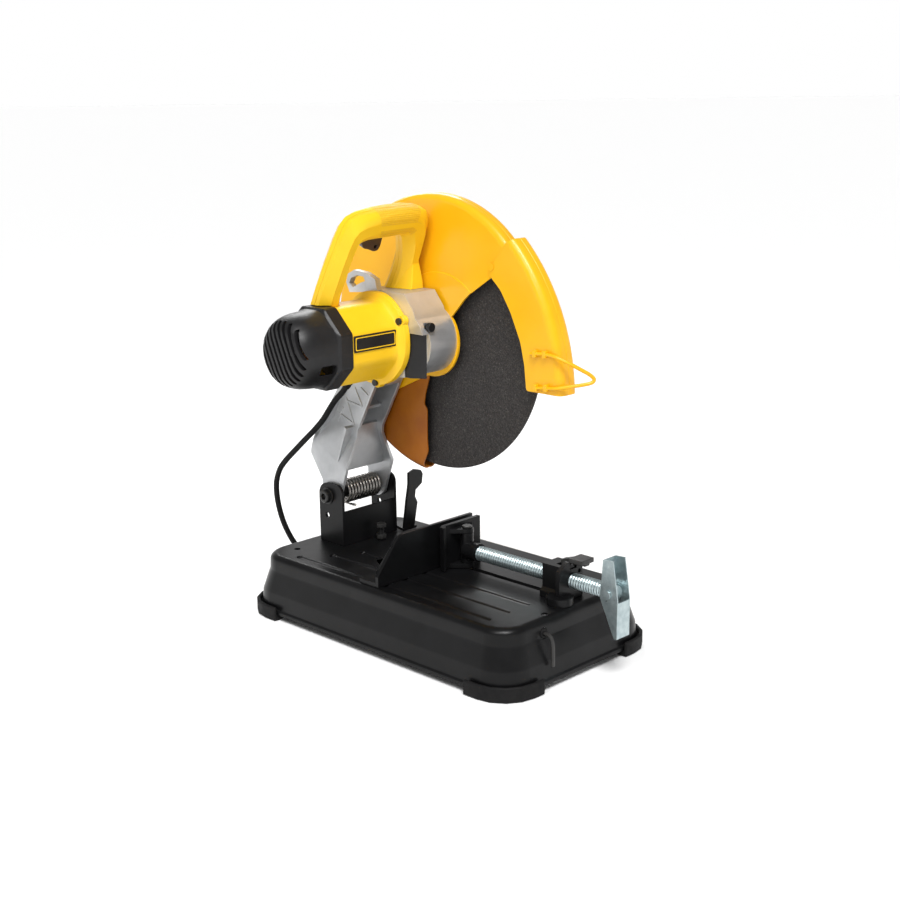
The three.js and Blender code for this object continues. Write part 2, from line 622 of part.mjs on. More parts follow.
// ---------------------------------------------------------------- guards
// A shallow round box of sheet: two side plates joined by a band, with softened edges.
function sheetDrum(left, right, radius, sheet, segments) {
  const soft = 5;
  const outer = turned([
    [left, 0], [left, radius - soft], [left + 1.5, radius - 1.5], [left + soft, radius],
    [right - soft, radius], [right - 1.5, radius - 1.5], [right, radius - soft], [right, 0],
  ], segments);
  const inner = bar(left + sheet, right - sheet, radius - sheet, segments);
  return cut(outer, inner);
}

function upperGuard() {
  const drum = at(sheetDrum(GUARD.left, GUARD.right, GUARD.radius, GUARD.sheet, 60), 0, GUARD.y, GUARD.z);
  const region = new THREE.Shape();
  region.moveTo(-48.2, 459.7);
  region.lineTo(-11.6, 436.3);
  region.lineTo(21.1, 403.6);
  region.absarc(58, 371, 49.5, 2.42, 4.86, false);
  region.lineTo(65.4, 321.7);
  region.lineTo(280, 225);
  region.lineTo(320, 620);
  region.lineTo(-160, 620);
  region.lineTo(-130, 528);
  const hubs = [bar(40, 50, 22, 32), bar(60, 90, 34, 32)].map(atSpindle);
  return cut(common(drum, sideways(region, 20, 100)), ...hubs);
}

function rearGuard() {
  const inset = GUARD.sheet + GAP;
  const drum = sheetDrum(GUARD.left + inset, GUARD.right - inset, GUARD.radius - inset, GUARD.sheet, 60);
  const region = [
    [66, 330], [66, 321.7], [75.6, 293.3], [77.9, 279.3], [72.3, 274.7], [73.4, 232], [71.9, 215.6],
    [82, 195.8], [84, 150], [300, 150], [300, 232],
  ];
  return common(at(drum, 0, GUARD.y, GUARD.z), sideways(region, 20, 100));
}

function frontGuard() {
  const drum = sheetDrum(FRONT_GUARD.left, FRONT_GUARD.right, FRONT_GUARD.radius, GUARD.sheet, 80);
  const region = [
    [-45.5, 468.4], [-50.6, 460.1], [-65.7, 446.5], [-82.4, 420.7], [-98.9, 385.1], [-105.5, 357.1],
    [-108.7, 324.8], [-220, 324.8], [-220, 600], [-130, 540], [-91, 514.6], [-74.5, 505],
  ];
  const rivetHole = at(bar(30, 60, 2.9, 16), 0, -50.7, 473.8);
  return cut(common(at(drum, 0, FRONT_GUARD.y, FRONT_GUARD.z), sideways(region, 20, 100)), rivetHole);
}

function wireHandle() {
  const x = FRONT_GUARD.left - 3;
  return wire([
    vec(x, -118, 373), vec(x, -141, 375), vec(x, -160, 373.5), vec(x + 8, -174, 367), vec(67, -190, 353),
    vec(74, -194, 345), vec(66, -190, 341), vec(x + 10, -175, 338), vec(x, -162, 335.5), vec(x, -144, 333.5),
    vec(x, -123, 331),
  ], 2.4, 6, 32);
}

function buildGuards() {
  place(head, 'upper_guard', upperGuard(), 'yellowPaint');
  place(head, 'rear_guard', rearGuard(), 'yellowPaint');
  place(head, 'front_guard', frontGuard(), 'yellowPaint');
  place(head, 'wire_handle', wireHandle(), 'yellowPaint');
  const rivet = join(bar(-1, -GAP, 5, 16), bar(-1, 1.9, 2.5, 16));
  place(head, 'guard_rivet', rivet, 'zinc', FRONT_GUARD.left, -50.7, 473.8);
}

// ---------------------------------------------------------------- motor
function motorHousing() {
  const { end, flange, flangeEnd, apothem, rim, bore } = HOUSING;
  const octagon = turnX(bar(end, flange, apothem / Math.cos(Math.PI / 8), 8), Math.PI / 8);
  const lobes = Object.values(SCREW_ANGLES).map(
    angle => turnX(at(bar(flangeEnd, flange, 7, 16), 0, SCREW_RING, 0), rad(angle)));
  const ring = bar(flangeEnd, flange, rim, 40);
  return cut(join(octagon, ring, ...lobes), bar(end - 1, flange + 1, bore, 40));
}

function endCap() {
  const { start, collarEnd, shoulder, face, wall } = CAP;
  const shell = turned([
    [face, 0], [face + 1, 32], [face + 6, 40], [shoulder, 44], [shoulder + 4, 47], [collarEnd, 52],
    [start, 52], [start, 48], [collarEnd, 46], [shoulder + 2, 41], [face + 9, 36.5],
    [face + wall + 1, 29], [face + wall, 0],
  ], 28);
  const boss = bar(face + 1, -154, 11, 20);
  const seat = bar(-168, -150, 4.5 + GAP, 16);
  const slots = [-28, -20, -12, 12, 20, 28].map(y => {
    const reach = Math.sqrt(34 ** 2 - y ** 2);
    return box(face - 2, face + 12, y - 1.6, y + 1.6, -reach, reach);
  });
  return cut(join(shell, boss), seat, ...slots.map(slot => turnX(slot, rad(-25))));
}

function fanBody() {
  const hub = tube(-30, -19, 12, 4.5 + GAP, 20);
  const plate = tube(-21, -19, 39, 11, 32);
  const blade = box(-30, -20, 11, 39, -0.9, 0.9);
  const blades = Array.from({ length: 9 }, (_, i) => turnX(blade, 2 * Math.PI * i / 9));
  return join(hub, plate, ...blades);
}

function brush(side) {
  return box(-127, -117, side > 0 ? 14.5 : -36, side > 0 ? 36 : -14.5, -4.5, 4.5);
}

function buildMotor() {
  place(head, 'motor_housing', motorHousing(), 'yellow', ...inHead.motor);
  place(head, 'end_cap', endCap(), 'plastic', ...inHead.motor);
  place(head, 'stator', tube(-92, -38, 43, 28, 24), 'iron', ...inHead.motor);
  place(head, 'armature_core', tube(-90, -40, 26.5, 4.5 + GAP, 24), 'iron', ...inHead.motor);
  place(head, 'commutator', tube(-132, -112, 14, 4.5 + GAP, 24), 'copper', ...inHead.motor);
  place(head, 'fan', fanBody(), 'plastic', ...inHead.motor);
  place(head, 'bearing_drive', tube(-13, -4, 14, 4.5 + GAP, 24), 'steel', ...inHead.motor);
  place(head, 'brush_front', brush(-1), 'iron', ...inHead.motor);
  place(head, 'brush_rear', brush(1), 'iron', ...inHead.motor);
  for (const [name, angle] of Object.entries(SCREW_ANGLES)) {
    const y = MOTOR.y + SCREW_RING * Math.cos(rad(angle));
    const z = MOTOR.z + SCREW_RING * Math.sin(rad(angle));
    place(head, `housing_screw_${name}`, bar(-4.5, -GAP, 4.5, 12), 'plastic', HOUSING.flangeEnd, y, z);
  }
}

// ---------------------------------------------------------------- handle
// Handle outlines are (x, v): v runs up the handle's own leaning plane from its foot.
const onHandle = geometry => turnX(geometry, HANDLE.tilt).translate(0, HANDLE.y, HANDLE.z);

function handleBlank() {
  const grip = new THREE.Shape();
  grip.moveTo(-115, -4);
  grip.lineTo(-102, 104);
  grip.quadraticCurveTo(-100, 122, -84, 124);
  grip.quadraticCurveTo(-30, 134, 20, 130);
  grip.quadraticCurveTo(38, 128, 41.5, 112);
  grip.lineTo(39, 48);
  grip.lineTo(41, -4);
  grip.lineTo(6, -4);
  grip.lineTo(12, 20);
  grip.quadraticCurveTo(16, 44, 4, 82);
  grip.quadraticCurveTo(0, 94, -12, 95);
  grip.lineTo(-66, 90);
  grip.quadraticCurveTo(-74, 88, -76, 76);
  grip.lineTo(-80, 20);
  grip.quadraticCurveTo(-80, 8, -72, -4);
  const blank = endways(grip, -HANDLE.half, HANDLE.half);
  const foot = endways([[8, -3], [41, -3], [41, 34], [14, 34]], -36, 12);
  const pocket = box(-66, -30, -7, 7, 70, 110);
  return { blank: onHandle(join(blank, foot)), pocket: onHandle(pocket) };
}

function buildHandle() {
  const { blank, pocket } = handleBlank();
  const front = onHandle(box(-200, 200, -80, -GAP / 2, -50, 200));
  const rear = onHandle(box(-200, 200, GAP / 2, 80, -50, 200));
  const housingTop = box(-200, -40, 0, 200, 300, MOTOR.z + HOUSING.apothem + GAP);
  const caseTop = box(-40, 200, 0, 200, 300, CASE.deck + GAP);
  const capTop = box(-200, HOUSING.end + 3, 0, 200, 300, MOTOR.z + 52 + 2 * GAP);
  for (const [name, keep] of [['handle_front', front], ['handle_rear', rear]]) {
    place(head, name, cut(common(blank, keep), housingTop, caseTop, capTop, pocket), 'yellow');
  }
  const trigger = new THREE.Shape();
  trigger.moveTo(-64, 80);
  trigger.lineTo(-34, 83);
  trigger.lineTo(-33, 98);
  trigger.lineTo(-64, 98);
  const triggerHole = [roundHole(-46, 89, 2.6)];
  place(head, 'trigger', onHandle(endways(shapeOf(trigger, triggerHole), -5.5, 5.5)), 'plastic');
  const lock = alongY(join(bar(0, 6, LOCK.head, 16), bar(6, 12, LOCK.stem, 12)));
  place(head, 'spindle_lock', lock, 'plastic', LOCK.x, LOCK.y, LOCK.z);
}

// ---------------------------------------------------------------- cord
const RELIEF = { x: -34, y: 122.1, z: 330.7, length: 30, dip: 50 };
const ROUTE = [
  [-34, 141.8, 307.3], [-34, 149, 299.3], [-34, 163.8, 286.5], [-34, 177, 271.5], [-34, 190.4, 255.8],
  [-34, 210, 238], [-34, 230.6, 221.3], [-34, 252, 203.5], [-34, 273.9, 185], [-33, 290, 168.5],
  [-31, 301, 149], [-27, 307, 127], [-22, 308.5, 103], [-16, 306, 79], [-8, 300, 56],
  [2, 291, 36], [13, 280.5, 20], [24, 270.5, 9.5], [35, 262, 5], [46, 256, 4.4],
  [54, 253.6, 4.4], [63.5, 253, 4.4],
];

// The free length lies in one flat coil, two layers deep, that ends in the plug.
function coilRing() {
  const { coilRadius, radius, layers, columns } = CORD;
  const halfWidth = columns * radius;
  const height = 2 * layers * radius;
  const ring = [
    [coilRadius - halfWidth, GAP], [coilRadius + halfWidth, GAP],
    [coilRadius + halfWidth, height], [coilRadius - halfWidth, height], [coilRadius - halfWidth, GAP],
  ];
  return new THREE.LatheGeometry(ring.map(p => new THREE.Vector2(...p)), 32).rotateX(Math.PI / 2);
}

function plugBody() {
  const sleeve = turned([[0, 0], [0, 5], [18, 8], [24, 8], [24, 0]], 16);
  const grip = box(22, 50, -12, 12, -12, 12);
  const blades = [-6.3, 6.3].map(y => box(49, 66, y - 0.8, y + 0.8, -3.2, 3.2));
  const earth = at(bar(49, 68, 2.4, 12), 0, 0, -8);
  return join(sleeve, grip, ...blades, earth);
}

function buildCord() {
  const relief = turned([
    [0, 0], [0, 8], [5, 8], [8, 6.5], [RELIEF.length, 5.2], [RELIEF.length, 0],
  ], 16);
  const aimed = turnX(turnZ(relief, Math.PI / 2), -rad(RELIEF.dip));
  place(head, 'strain_relief', aimed, 'plastic', RELIEF.x, RELIEF.y, RELIEF.z);
  const route = new THREE.CatmullRomCurve3(ROUTE.map(p => vec(...p)), false, 'centripetal');
  place(machine, 'cord', wire(null, CORD.radius, 8, 28, route), 'rubber');
  place(machine, 'cord_coil', coilRing(), 'rubber', CORD.coilX, CORD.coilY, 0);
  const exitX = CORD.coilX + 33;
  const exitY = CORD.coilY - CORD.coilRadius - 3 * CORD.radius;
  place(machine, 'plug', plugBody(), 'plastic', exitX, exitY, 12.5);
}

// The origin is under the middle of the machine's box, without its cord.
function standAtOrigin() {
  const extent = new THREE.Box3().setFromObject(machine);
  const middle = extent.getCenter(vec(0, 0, 0));
  machine.position.set(-middle.x, -middle.y, -extent.min.z);
}

buildBase();
buildHinge();
buildDeflector();
buildFence();
buildWrench();
buildVise();
place(head, 'arm', armCasting(), 'aluminium');
place(head, 'gear_case', gearCase(), 'aluminium');
place(head, 'air_baffle', airBaffle(), 'plastic');
buildGearTrain();
buildWheel();
buildGuards();
buildMotor();
buildHandle();
standAtOrigin();
buildCord();

export default machine;
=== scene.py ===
"""Abrasive chop saw: the looks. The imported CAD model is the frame, and every piece here rides on it."""
import bpy
import bmesh
import json
import math
from mathutils import Matrix, Vector


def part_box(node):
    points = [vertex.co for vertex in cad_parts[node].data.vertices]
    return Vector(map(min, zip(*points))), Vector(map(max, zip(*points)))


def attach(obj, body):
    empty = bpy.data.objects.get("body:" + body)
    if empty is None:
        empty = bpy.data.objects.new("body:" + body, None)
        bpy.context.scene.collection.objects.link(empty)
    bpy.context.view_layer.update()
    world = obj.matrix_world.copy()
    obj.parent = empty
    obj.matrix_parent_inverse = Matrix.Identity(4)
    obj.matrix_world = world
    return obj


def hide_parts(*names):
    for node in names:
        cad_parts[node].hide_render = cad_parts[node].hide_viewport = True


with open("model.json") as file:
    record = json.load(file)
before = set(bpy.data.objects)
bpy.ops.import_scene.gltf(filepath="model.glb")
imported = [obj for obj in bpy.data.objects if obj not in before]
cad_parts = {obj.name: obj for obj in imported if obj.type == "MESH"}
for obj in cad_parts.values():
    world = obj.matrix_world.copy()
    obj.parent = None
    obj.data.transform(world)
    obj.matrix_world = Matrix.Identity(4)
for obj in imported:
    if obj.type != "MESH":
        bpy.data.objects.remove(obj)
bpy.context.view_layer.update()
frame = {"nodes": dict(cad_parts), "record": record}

# ---------------------------------------------------------------- the machine's own coordinates
# Positions below are in millimetres from the middle of the base on the floor.
base_low, base_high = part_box("base_pan")
ORIGIN = Vector(((base_low[0] + base_high[0]) / 2, (base_low[1] + base_high[1]) / 2, 0.0))
# Axes along x, as (y, z): the arm's hinge, the wheel, and the motor beside it at the gears' distance.
PIVOT = (186.0, 150.0)
SPINDLE = (56.0, 374.0)
MOTOR = (SPINDLE[0] + math.sqrt(40.0 ** 2 - 3.0 ** 2), SPINDLE[1] + 3.0)
WHEEL_X = 60.0
# Axes along y, as (x, z), and the fence's upright axis, as (x, y).
SCREW = (18.7, 107.0)
WRENCH = (-58.0, 66.0)
FENCE_PIVOT = (46.0, 14.0)
FENCE_SLOT_RADIUS = 106.0


def mm(x, y, z):
    return Vector((x, y, z)) / 1000.0 + ORIGIN


# ---------------------------------------------------------------- camera, lights and floor
CAMERA_PLACE = (-1272.7, -1288.0, 699.0)
CAMERA_YAW = math.radians(45.237)
CAMERA_PITCH = math.radians(14.214)
CAMERA_ROLL = math.radians(-0.770)
CAMERA_LENS = 58.24
CAMERA_SHIFT = (-0.005, -1.0 / 900.0)
SENSOR_WIDTH = 36.0


def make_camera():
    data = bpy.data.cameras.new("camera")
    camera = bpy.data.objects.new("camera", data)
    bpy.context.scene.collection.objects.link(camera)
    level = math.cos(CAMERA_PITCH)
    forward = Vector((math.sin(CAMERA_YAW) * level, math.cos(CAMERA_YAW) * level, -math.sin(CAMERA_PITCH)))
    right = Vector((math.cos(CAMERA_YAW), -math.sin(CAMERA_YAW), 0.0))
    up = right.cross(forward)
    side = right * math.cos(CAMERA_ROLL) + up * math.sin(CAMERA_ROLL)
    top = side.cross(forward)
    turn = Matrix((side, top, -forward)).transposed().to_4x4()
    camera.matrix_world = Matrix.Translation(mm(*CAMERA_PLACE)) @ turn
    data.sensor_width = SENSOR_WIDTH
    data.lens = CAMERA_LENS
    data.shift_x, data.shift_y = CAMERA_SHIFT
    data.clip_end = 50.0
    bpy.context.scene.camera = camera
    return camera


def area_light(name, place, aim, size, power, colour=(1.0, 1.0, 1.0)):
    data = bpy.data.lights.new(name, "AREA")
    data.shape = "RECTANGLE"
    data.size = size[0]
    data.size_y = size[1]
    data.energy = power
    data.color = colour
    light = bpy.data.objects.new(name, data)
    bpy.context.scene.collection.objects.link(light)
    light.location = place
    light.rotation_euler = (Vector(aim) - Vector(place)).to_track_quat("-Z", "Y").to_euler()


def make_studio():
    """A dim dome that turns white towards the horizon, a soft sun and two softboxes."""
    world = bpy.data.worlds.new("studio")
    bpy.context.scene.world = world
    world.use_nodes = True
    tree = world.node_tree
    background = tree.nodes["Background"]
    direction = tree.nodes.new("ShaderNodeTexCoord").outputs["Generated"]
    split = tree.nodes.new("ShaderNodeSeparateXYZ")
    tree.links.new(direction, split.inputs["Vector"])
    height = tree.nodes.new("ShaderNodeMapRange")
    height.inputs["From Min"].default_value = 0.10
    height.inputs["From Max"].default_value = 0.30
    height.inputs["To Min"].default_value = 1.0
    height.inputs["To Max"].default_value = 0.30
    tree.links.new(split.outputs["Z"], height.inputs["Value"])
    tree.links.new(height.outputs["Result"], background.inputs["Strength"])
    background.inputs["Color"].default_value = (1.0, 1.0, 1.0, 1.0)
    data = bpy.data.lights.new("sun", "SUN")
    data.energy = 2.85
    data.angle = math.radians(24.0)
    sun = bpy.data.objects.new("sun", data)
    bpy.context.scene.collection.objects.link(sun)
    sun.rotation_euler = Vector((0.42, 0.50, -1.0)).to_track_quat("-Z", "Y").to_euler()
    area_light("key", (-1.3, -0.5, 1.5), (0.0, 0.0, 0.25), (0.5, 0.9), 9.0)
    area_light("rim", (0.9, 1.3, 1.3), (0.0, 0.0, 0.3), (0.9, 0.5), 12.0)
    bpy.context.scene.view_settings.view_transform = "Standard"


FLOOR_HALF = 60.0
FLOOR_Z = -0.0004


def make_floor():
    mesh = bpy.data.meshes.new("floor")
    outline = rectangle(-FLOOR_HALF, FLOOR_HALF, -FLOOR_HALF, FLOOR_HALF)
    mesh.from_pydata([(x, y, FLOOR_Z) for x, y in outline], [], [(0, 1, 2, 3)])
    floor = bpy.data.objects.new("floor", mesh)
    bpy.context.scene.collection.objects.link(floor)
    surface = bpy.data.materials.new("floor")
    surface.use_nodes = True
    shader = surface.node_tree.nodes["Principled BSDF"]
    shader.inputs["Base Color"].default_value = (0.99, 0.99, 0.99, 1.0)
    shader.inputs["Roughness"].default_value = 0.6
    mesh.materials.append(surface)


# ---------------------------------------------------------------- materials
class Nodes:
    """A short way to write a material's node tree."""

    def __init__(self, name):
        self.material = bpy.data.materials.new(name)
        self.material.use_nodes = True
        self.tree = self.material.node_tree
        self.shader = self.tree.nodes["Principled BSDF"]
        self.coords = self.tree.nodes.new("ShaderNodeTexCoord").outputs["Object"]

    def link(self, a, b):
        self.tree.links.new(a, b)

    def set(self, **values):
        for name, value in values.items():
            self.shader.inputs[name.replace("_", " ")].default_value = value

    def noise(self, scale, detail=3.0, rough=0.55, stretch=None):
        node = self.tree.nodes.new("ShaderNodeTexNoise")
        node.inputs["Scale"].default_value = scale
        node.inputs["Detail"].default_value = detail
        node.inputs["Roughness"].default_value = rough
        self.link(self.stretched(stretch) if stretch else self.coords, node.inputs["Vector"])
        return node.outputs["Fac"]

    def stretched(self, factors):
        node = self.tree.nodes.new("ShaderNodeMapping")
        node.inputs["Scale"].default_value = factors
        self.link(self.coords, node.inputs["Vector"])
        return node.outputs["Vector"]

    def grains(self, scale, randomness=1.0):
        node = self.tree.nodes.new("ShaderNodeTexVoronoi")
        node.inputs["Scale"].default_value = scale
        node.inputs["Randomness"].default_value = randomness
        self.link(self.coords, node.inputs["Vector"])
        return node.outputs["Distance"], node.outputs["Color"]

    def ramp(self, source, stops):
        node = self.tree.nodes.new("ShaderNodeValToRGB")
        first, last = node.color_ramp.elements
        first.position, first.color = stops[0][0], (*stops[0][1], 1.0)
        last.position, last.color = stops[-1][0], (*stops[-1][1], 1.0)
        for place, colour in stops[1:-1]:
            element = node.color_ramp.elements.new(place)
            element.color = (*colour, 1.0)
        self.link(source, node.inputs["Fac"])
        return node.outputs["Color"]

    def scaled(self, source, low, high):
        node = self.tree.nodes.new("ShaderNodeMapRange")
        node.inputs["From Min"].default_value = 0.25
        node.inputs["From Max"].default_value = 0.75
        node.inputs["To Min"].default_value = low
        node.inputs["To Max"].default_value = high
        self.link(source, node.inputs["Value"])
        return node.outputs["Result"]

    def worn(self, base, edge, amount):
        """Mix an edge colour in where the surface is convex."""
        geometry = self.tree.nodes.new("ShaderNodeNewGeometry")
        span = self.tree.nodes.new("ShaderNodeMapRange")
        span.inputs["From Min"].default_value = 0.52
        span.inputs["From Max"].default_value = 0.60
        span.inputs["To Max"].default_value = amount
        self.link(geometry.outputs["Pointiness"], span.inputs["Value"])
        return self.mix(span.outputs["Result"], base, edge)

    def mix(self, factor, a, b):
        node = self.tree.nodes.new("ShaderNodeMix")
        node.data_type = "RGBA"
        for value, socket in ((factor, node.inputs[0]), (a, node.inputs[6]), (b, node.inputs[7])):
            if isinstance(value, (tuple, list)):
                socket.default_value = (*value, 1.0)
            elif isinstance(value, float):
                socket.default_value = value
            else:
                self.link(value, socket)
        return node.outputs[2]

    def bump(self, source, strength, distance, before=None):
        node = self.tree.nodes.new("ShaderNodeBump")
        node.inputs["Strength"].default_value = strength
        node.inputs["Distance"].default_value = distance
        self.link(source, node.inputs["Height"])
        if before is not None:
            self.link(before, node.inputs["Normal"])
        return node.outputs["Normal"]

    def finish(self, colour=None, roughness=None, normal=None):
        if colour is not None:
            self.link(colour, self.shader.inputs["Base Color"])
        if roughness is not None:
            self.link(roughness, self.shader.inputs["Roughness"])
        if normal is not None:
            self.link(normal, self.shader.inputs["Normal"])
        return self.material


def black_enamel():
    n = Nodes("black_enamel")
    n.set(Metallic=0.0, Specular_IOR_Level=0.19)
    cloud = n.noise(26.0)
    base = n.ramp(cloud, [(0.3, (0.0035, 0.0035, 0.0037)), (0.7, (0.0060, 0.0060, 0.0065))])
    peel = n.noise(900.0, 2.0)
    return n.finish(base, n.scaled(n.noise(60.0), 0.28, 0.36), n.bump(peel, 0.06, 0.0004))


def black_hardware():
    n = Nodes("black_hardware")
    n.set(Specular_IOR_Level=0.4)
    base = n.ramp(n.noise(90.0), [(0.3, (0.006, 0.006, 0.006)), (0.7, (0.012, 0.012, 0.012))])
    return n.finish(n.worn(base, (0.05, 0.048, 0.045), 0.5), n.scaled(n.noise(150.0), 0.30, 0.5),
                    n.bump(n.noise(700.0), 0.1, 0.0003))


def rubber():
    n = Nodes("rubber")
    n.set(Specular_IOR_Level=0.15)
    base = n.ramp(n.noise(40.0), [(0.3, (0.005, 0.005, 0.0055)), (0.7, (0.010, 0.0095, 0.0095))])
    return n.finish(base, n.scaled(n.noise(120.0), 0.55, 0.75), n.bump(n.noise(1400.0), 0.25, 0.0004))


def black_plastic():
    n = Nodes("black_plastic")
    n.set(Specular_IOR_Level=0.35)
    base = n.ramp(n.noise(30.0), [(0.3, (0.006, 0.006, 0.0065)), (0.7, (0.011, 0.0105, 0.011))])
    return n.finish(base, n.scaled(n.noise(200.0), 0.34, 0.44), n.bump(n.noise(1500.0), 0.3, 0.0003))


def brown_plastic():
    n = Nodes("brown_plastic")
    base = n.ramp(n.noise(60.0), [(0.3, (0.030, 0.014, 0.010)), (0.7, (0.045, 0.022, 0.016))])
    return n.finish(base, n.scaled(n.noise(200.0), 0.35, 0.45), n.bump(n.noise(1500.0), 0.25, 0.0003))


def yellow_plastic():
    n = Nodes("yellow_plastic")
    n.set(Specular_IOR_Level=0.32)
    base = n.ramp(n.noise(18.0), [(0.3, (0.840, 0.500, 0.010)), (0.7, (0.890, 0.550, 0.016))])
    return n.finish(base, n.scaled(n.noise(120.0), 0.33, 0.45), n.bump(n.noise(1600.0), 0.22, 0.0003))


def yellow_grip():
    n = Nodes("yellow_grip")
    n.set(Specular_IOR_Level=0.4)
    distance = n.grains(430.0, 0.1)[0]
    # Lighter dots with darker rims between them: painted light and shade on the stipple, on top of the bump
    # that gives its relief.
    base = n.ramp(distance, [(0.2, (0.880, 0.540, 0.016)), (0.55, (0.760, 0.430, 0.009))])
    return n.finish(base, n.scaled(n.noise(120.0), 0.42, 0.55), n.bump(distance, 0.9, 0.0015))


def yellow_paint():
    n = Nodes("yellow_paint")
    n.set(Coat_Weight=0.15, Coat_Roughness=0.15, Specular_IOR_Level=0.3)
    base = n.ramp(n.noise(14.0), [(0.3, (0.800, 0.400, 0.004)), (0.7, (0.850, 0.440, 0.006))])
    peel = n.noise(420.0, 2.0)
    return n.finish(base, n.scaled(n.noise(50.0), 0.28, 0.36), n.bump(peel, 0.06, 0.0004))


def painted_shade_guard_paint():
    """The paint of the guard behind the wheel, darkened to an orange-brown: painted shade, standing in for
    the shade this guard lies in under the motor.
    """
    n = Nodes("painted_shade_guard_paint")
    n.set(Coat_Weight=0.1, Coat_Roughness=0.25, Specular_IOR_Level=0.25)
    # Deep orange-brown tones: painted shade, not a colour of the paint itself.
    base = n.ramp(n.noise(22.0, 5.0), [(0.3, (0.290, 0.080, 0.004)), (0.7, (0.380, 0.120, 0.006))])
    return n.finish(base, n.scaled(n.noise(70.0), 0.34, 0.5), n.bump(n.noise(420.0, 2.0), 0.08, 0.0004))


def cast_aluminium():
    n = Nodes("cast_aluminium")
    n.set(Metallic=0.72)
    sand = n.noise(1100.0, 4.0)
    base = n.ramp(n.noise(35.0), [(0.3, (0.44, 0.45, 0.46)), (0.7, (0.54, 0.55, 0.56))])
    worn = n.worn(base, (0.8, 0.8, 0.8), 0.6)
    return n.finish(worn, n.scaled(n.noise(260.0), 0.36, 0.52), n.bump(sand, 0.28, 0.0005))


def zinc():
    n = Nodes("zinc")
    n.set(Metallic=0.92)
    base = n.ramp(n.noise(160.0, 4.0), [(0.3, (0.36, 0.44, 0.46)), (0.7, (0.50, 0.58, 0.59))])
    return n.finish(base, n.scaled(n.noise(300.0), 0.26, 0.42), n.bump(n.noise(500.0), 0.1, 0.0003))


def turned_steel():
    n = Nodes("turned_steel")
    n.set(Metallic=1.0)
    streaks = n.noise(200.0, stretch=(8.0, 1.0, 1.0))
    base = n.ramp(streaks, [(0.3, (0.40, 0.39, 0.38)), (0.7, (0.55, 0.54, 0.53))])
    return n.finish(base, n.scaled(n.noise(250.0), 0.22, 0.36), n.bump(n.noise(900.0), 0.08, 0.0002))


def spring_steel():
    n = Nodes("spring_steel")
    n.set(Metallic=1.0)
    base = n.ramp(n.noise(60.0), [(0.3, (0.33, 0.31, 0.29)), (0.7, (0.46, 0.44, 0.41))])
    return n.finish(base, n.scaled(n.noise(200.0), 0.24, 0.34))


def abrasive():
    n = Nodes("abrasive")
    n.set(Specular_IOR_Level=0.4)
    distance, colour = n.grains(760.0)
    speck = n.ramp(colour, [(0.0, (0.010, 0.009, 0.009)), (0.55, (0.026, 0.023, 0.022)),
                            (0.86, (0.045, 0.041, 0.038)), (1.0, (0.11, 0.10, 0.095))])
    return n.finish(speck, n.scaled(n.noise(300.0), 0.55, 0.8), n.bump(distance, 0.7, 0.0008))


def copper():
    n = Nodes("copper")
    n.set(Metallic=1.0)
    base = n.ramp(n.noise(120.0), [(0.3, (0.55, 0.24, 0.12)), (0.7, (0.72, 0.36, 0.2))])
    return n.finish(base, n.scaled(n.noise(200.0), 0.25, 0.4))


def iron():
    n = Nodes("iron")
    n.set(Metallic=0.8)
    base = n.ramp(n.noise(150.0), [(0.3, (0.10, 0.10, 0.10)), (0.7, (0.2, 0.2, 0.21))])
    return n.finish(base, n.scaled(n.noise(200.0), 0.35, 0.55))


MAKERS = {
    "black_steel": black_enamel, "black_hardware": black_hardware, "rubber": rubber,
    "yellow_plastic": yellow_plastic, "yellow_paint": yellow_paint, "cast_aluminium": cast_aluminium,
    "zinc_plate": zinc, "steel": turned_steel, "spring_steel": spring_steel, "black_plastic": black_plastic,
    "brown_plastic": brown_plastic, "abrasive": abrasive, "copper": copper, "iron": iron,
}
SLOT_OF = {part["node"]: part["material_slot"] for part in frame["record"]["subparts"]}
BODY_OF = {node: body for body, nodes in frame["record"]["behaviour"]["bodies"].items() for node in nodes}
finishes = {slot: make() for slot, make in MAKERS.items()}
# Two finishes that belong to no slot: the stippled part of the grip, with painted light and shade on its
# dots, and the rear guard's paint, darkened with painted shade.
finishes["grip"] = yellow_grip()
finishes["painted_shade_guard_paint"] = painted_shade_guard_paint()


# ---------------------------------------------------------------- mesh tools
def linked(name, mesh):
    obj = bpy.data.objects.new(name, mesh)
    bpy.context.scene.collection.objects.link(obj)
    return obj


def from_bmesh(name, bm):
    mesh = bpy.data.meshes.new(name)
    bm.to_mesh(mesh)
    bm.free()
    return linked(name, mesh)


def settled(obj):
    """Bake an object's modifiers into its mesh."""
    bpy.context.view_layer.update()
    graph = bpy.context.evaluated_depsgraph_get()
    mesh = bpy.data.meshes.new_from_object(obj.evaluated_get(graph))
    name = obj.name
    matrix = obj.matrix_world.copy()
    bpy.data.objects.remove(obj)
    mesh.transform(matrix)
    return linked(name, mesh)


def welded(obj, distance=2e-6):
    bm = bmesh.new()
    bm.from_mesh(obj.data)
    bmesh.ops.remove_doubles(bm, verts=bm.verts, dist=distance)
    bmesh.ops.recalc_face_normals(bm, faces=bm.faces)
    bm.to_mesh(obj.data)
    bm.free()
    return obj


def arc(centre, radius, start, end, steps=10):
    """Points of an arc, with angles in degrees."""
    points = []
    for i in range(steps + 1):
        a = math.radians(start + (end - start) * i / steps)
        points.append((centre[0] + radius * math.cos(a), centre[1] + radius * math.sin(a)))
    return points


def rectangle(u0, u1, v0, v1):
    return [(u0, v0), (u1, v0), (u1, v1), (u0, v1)]


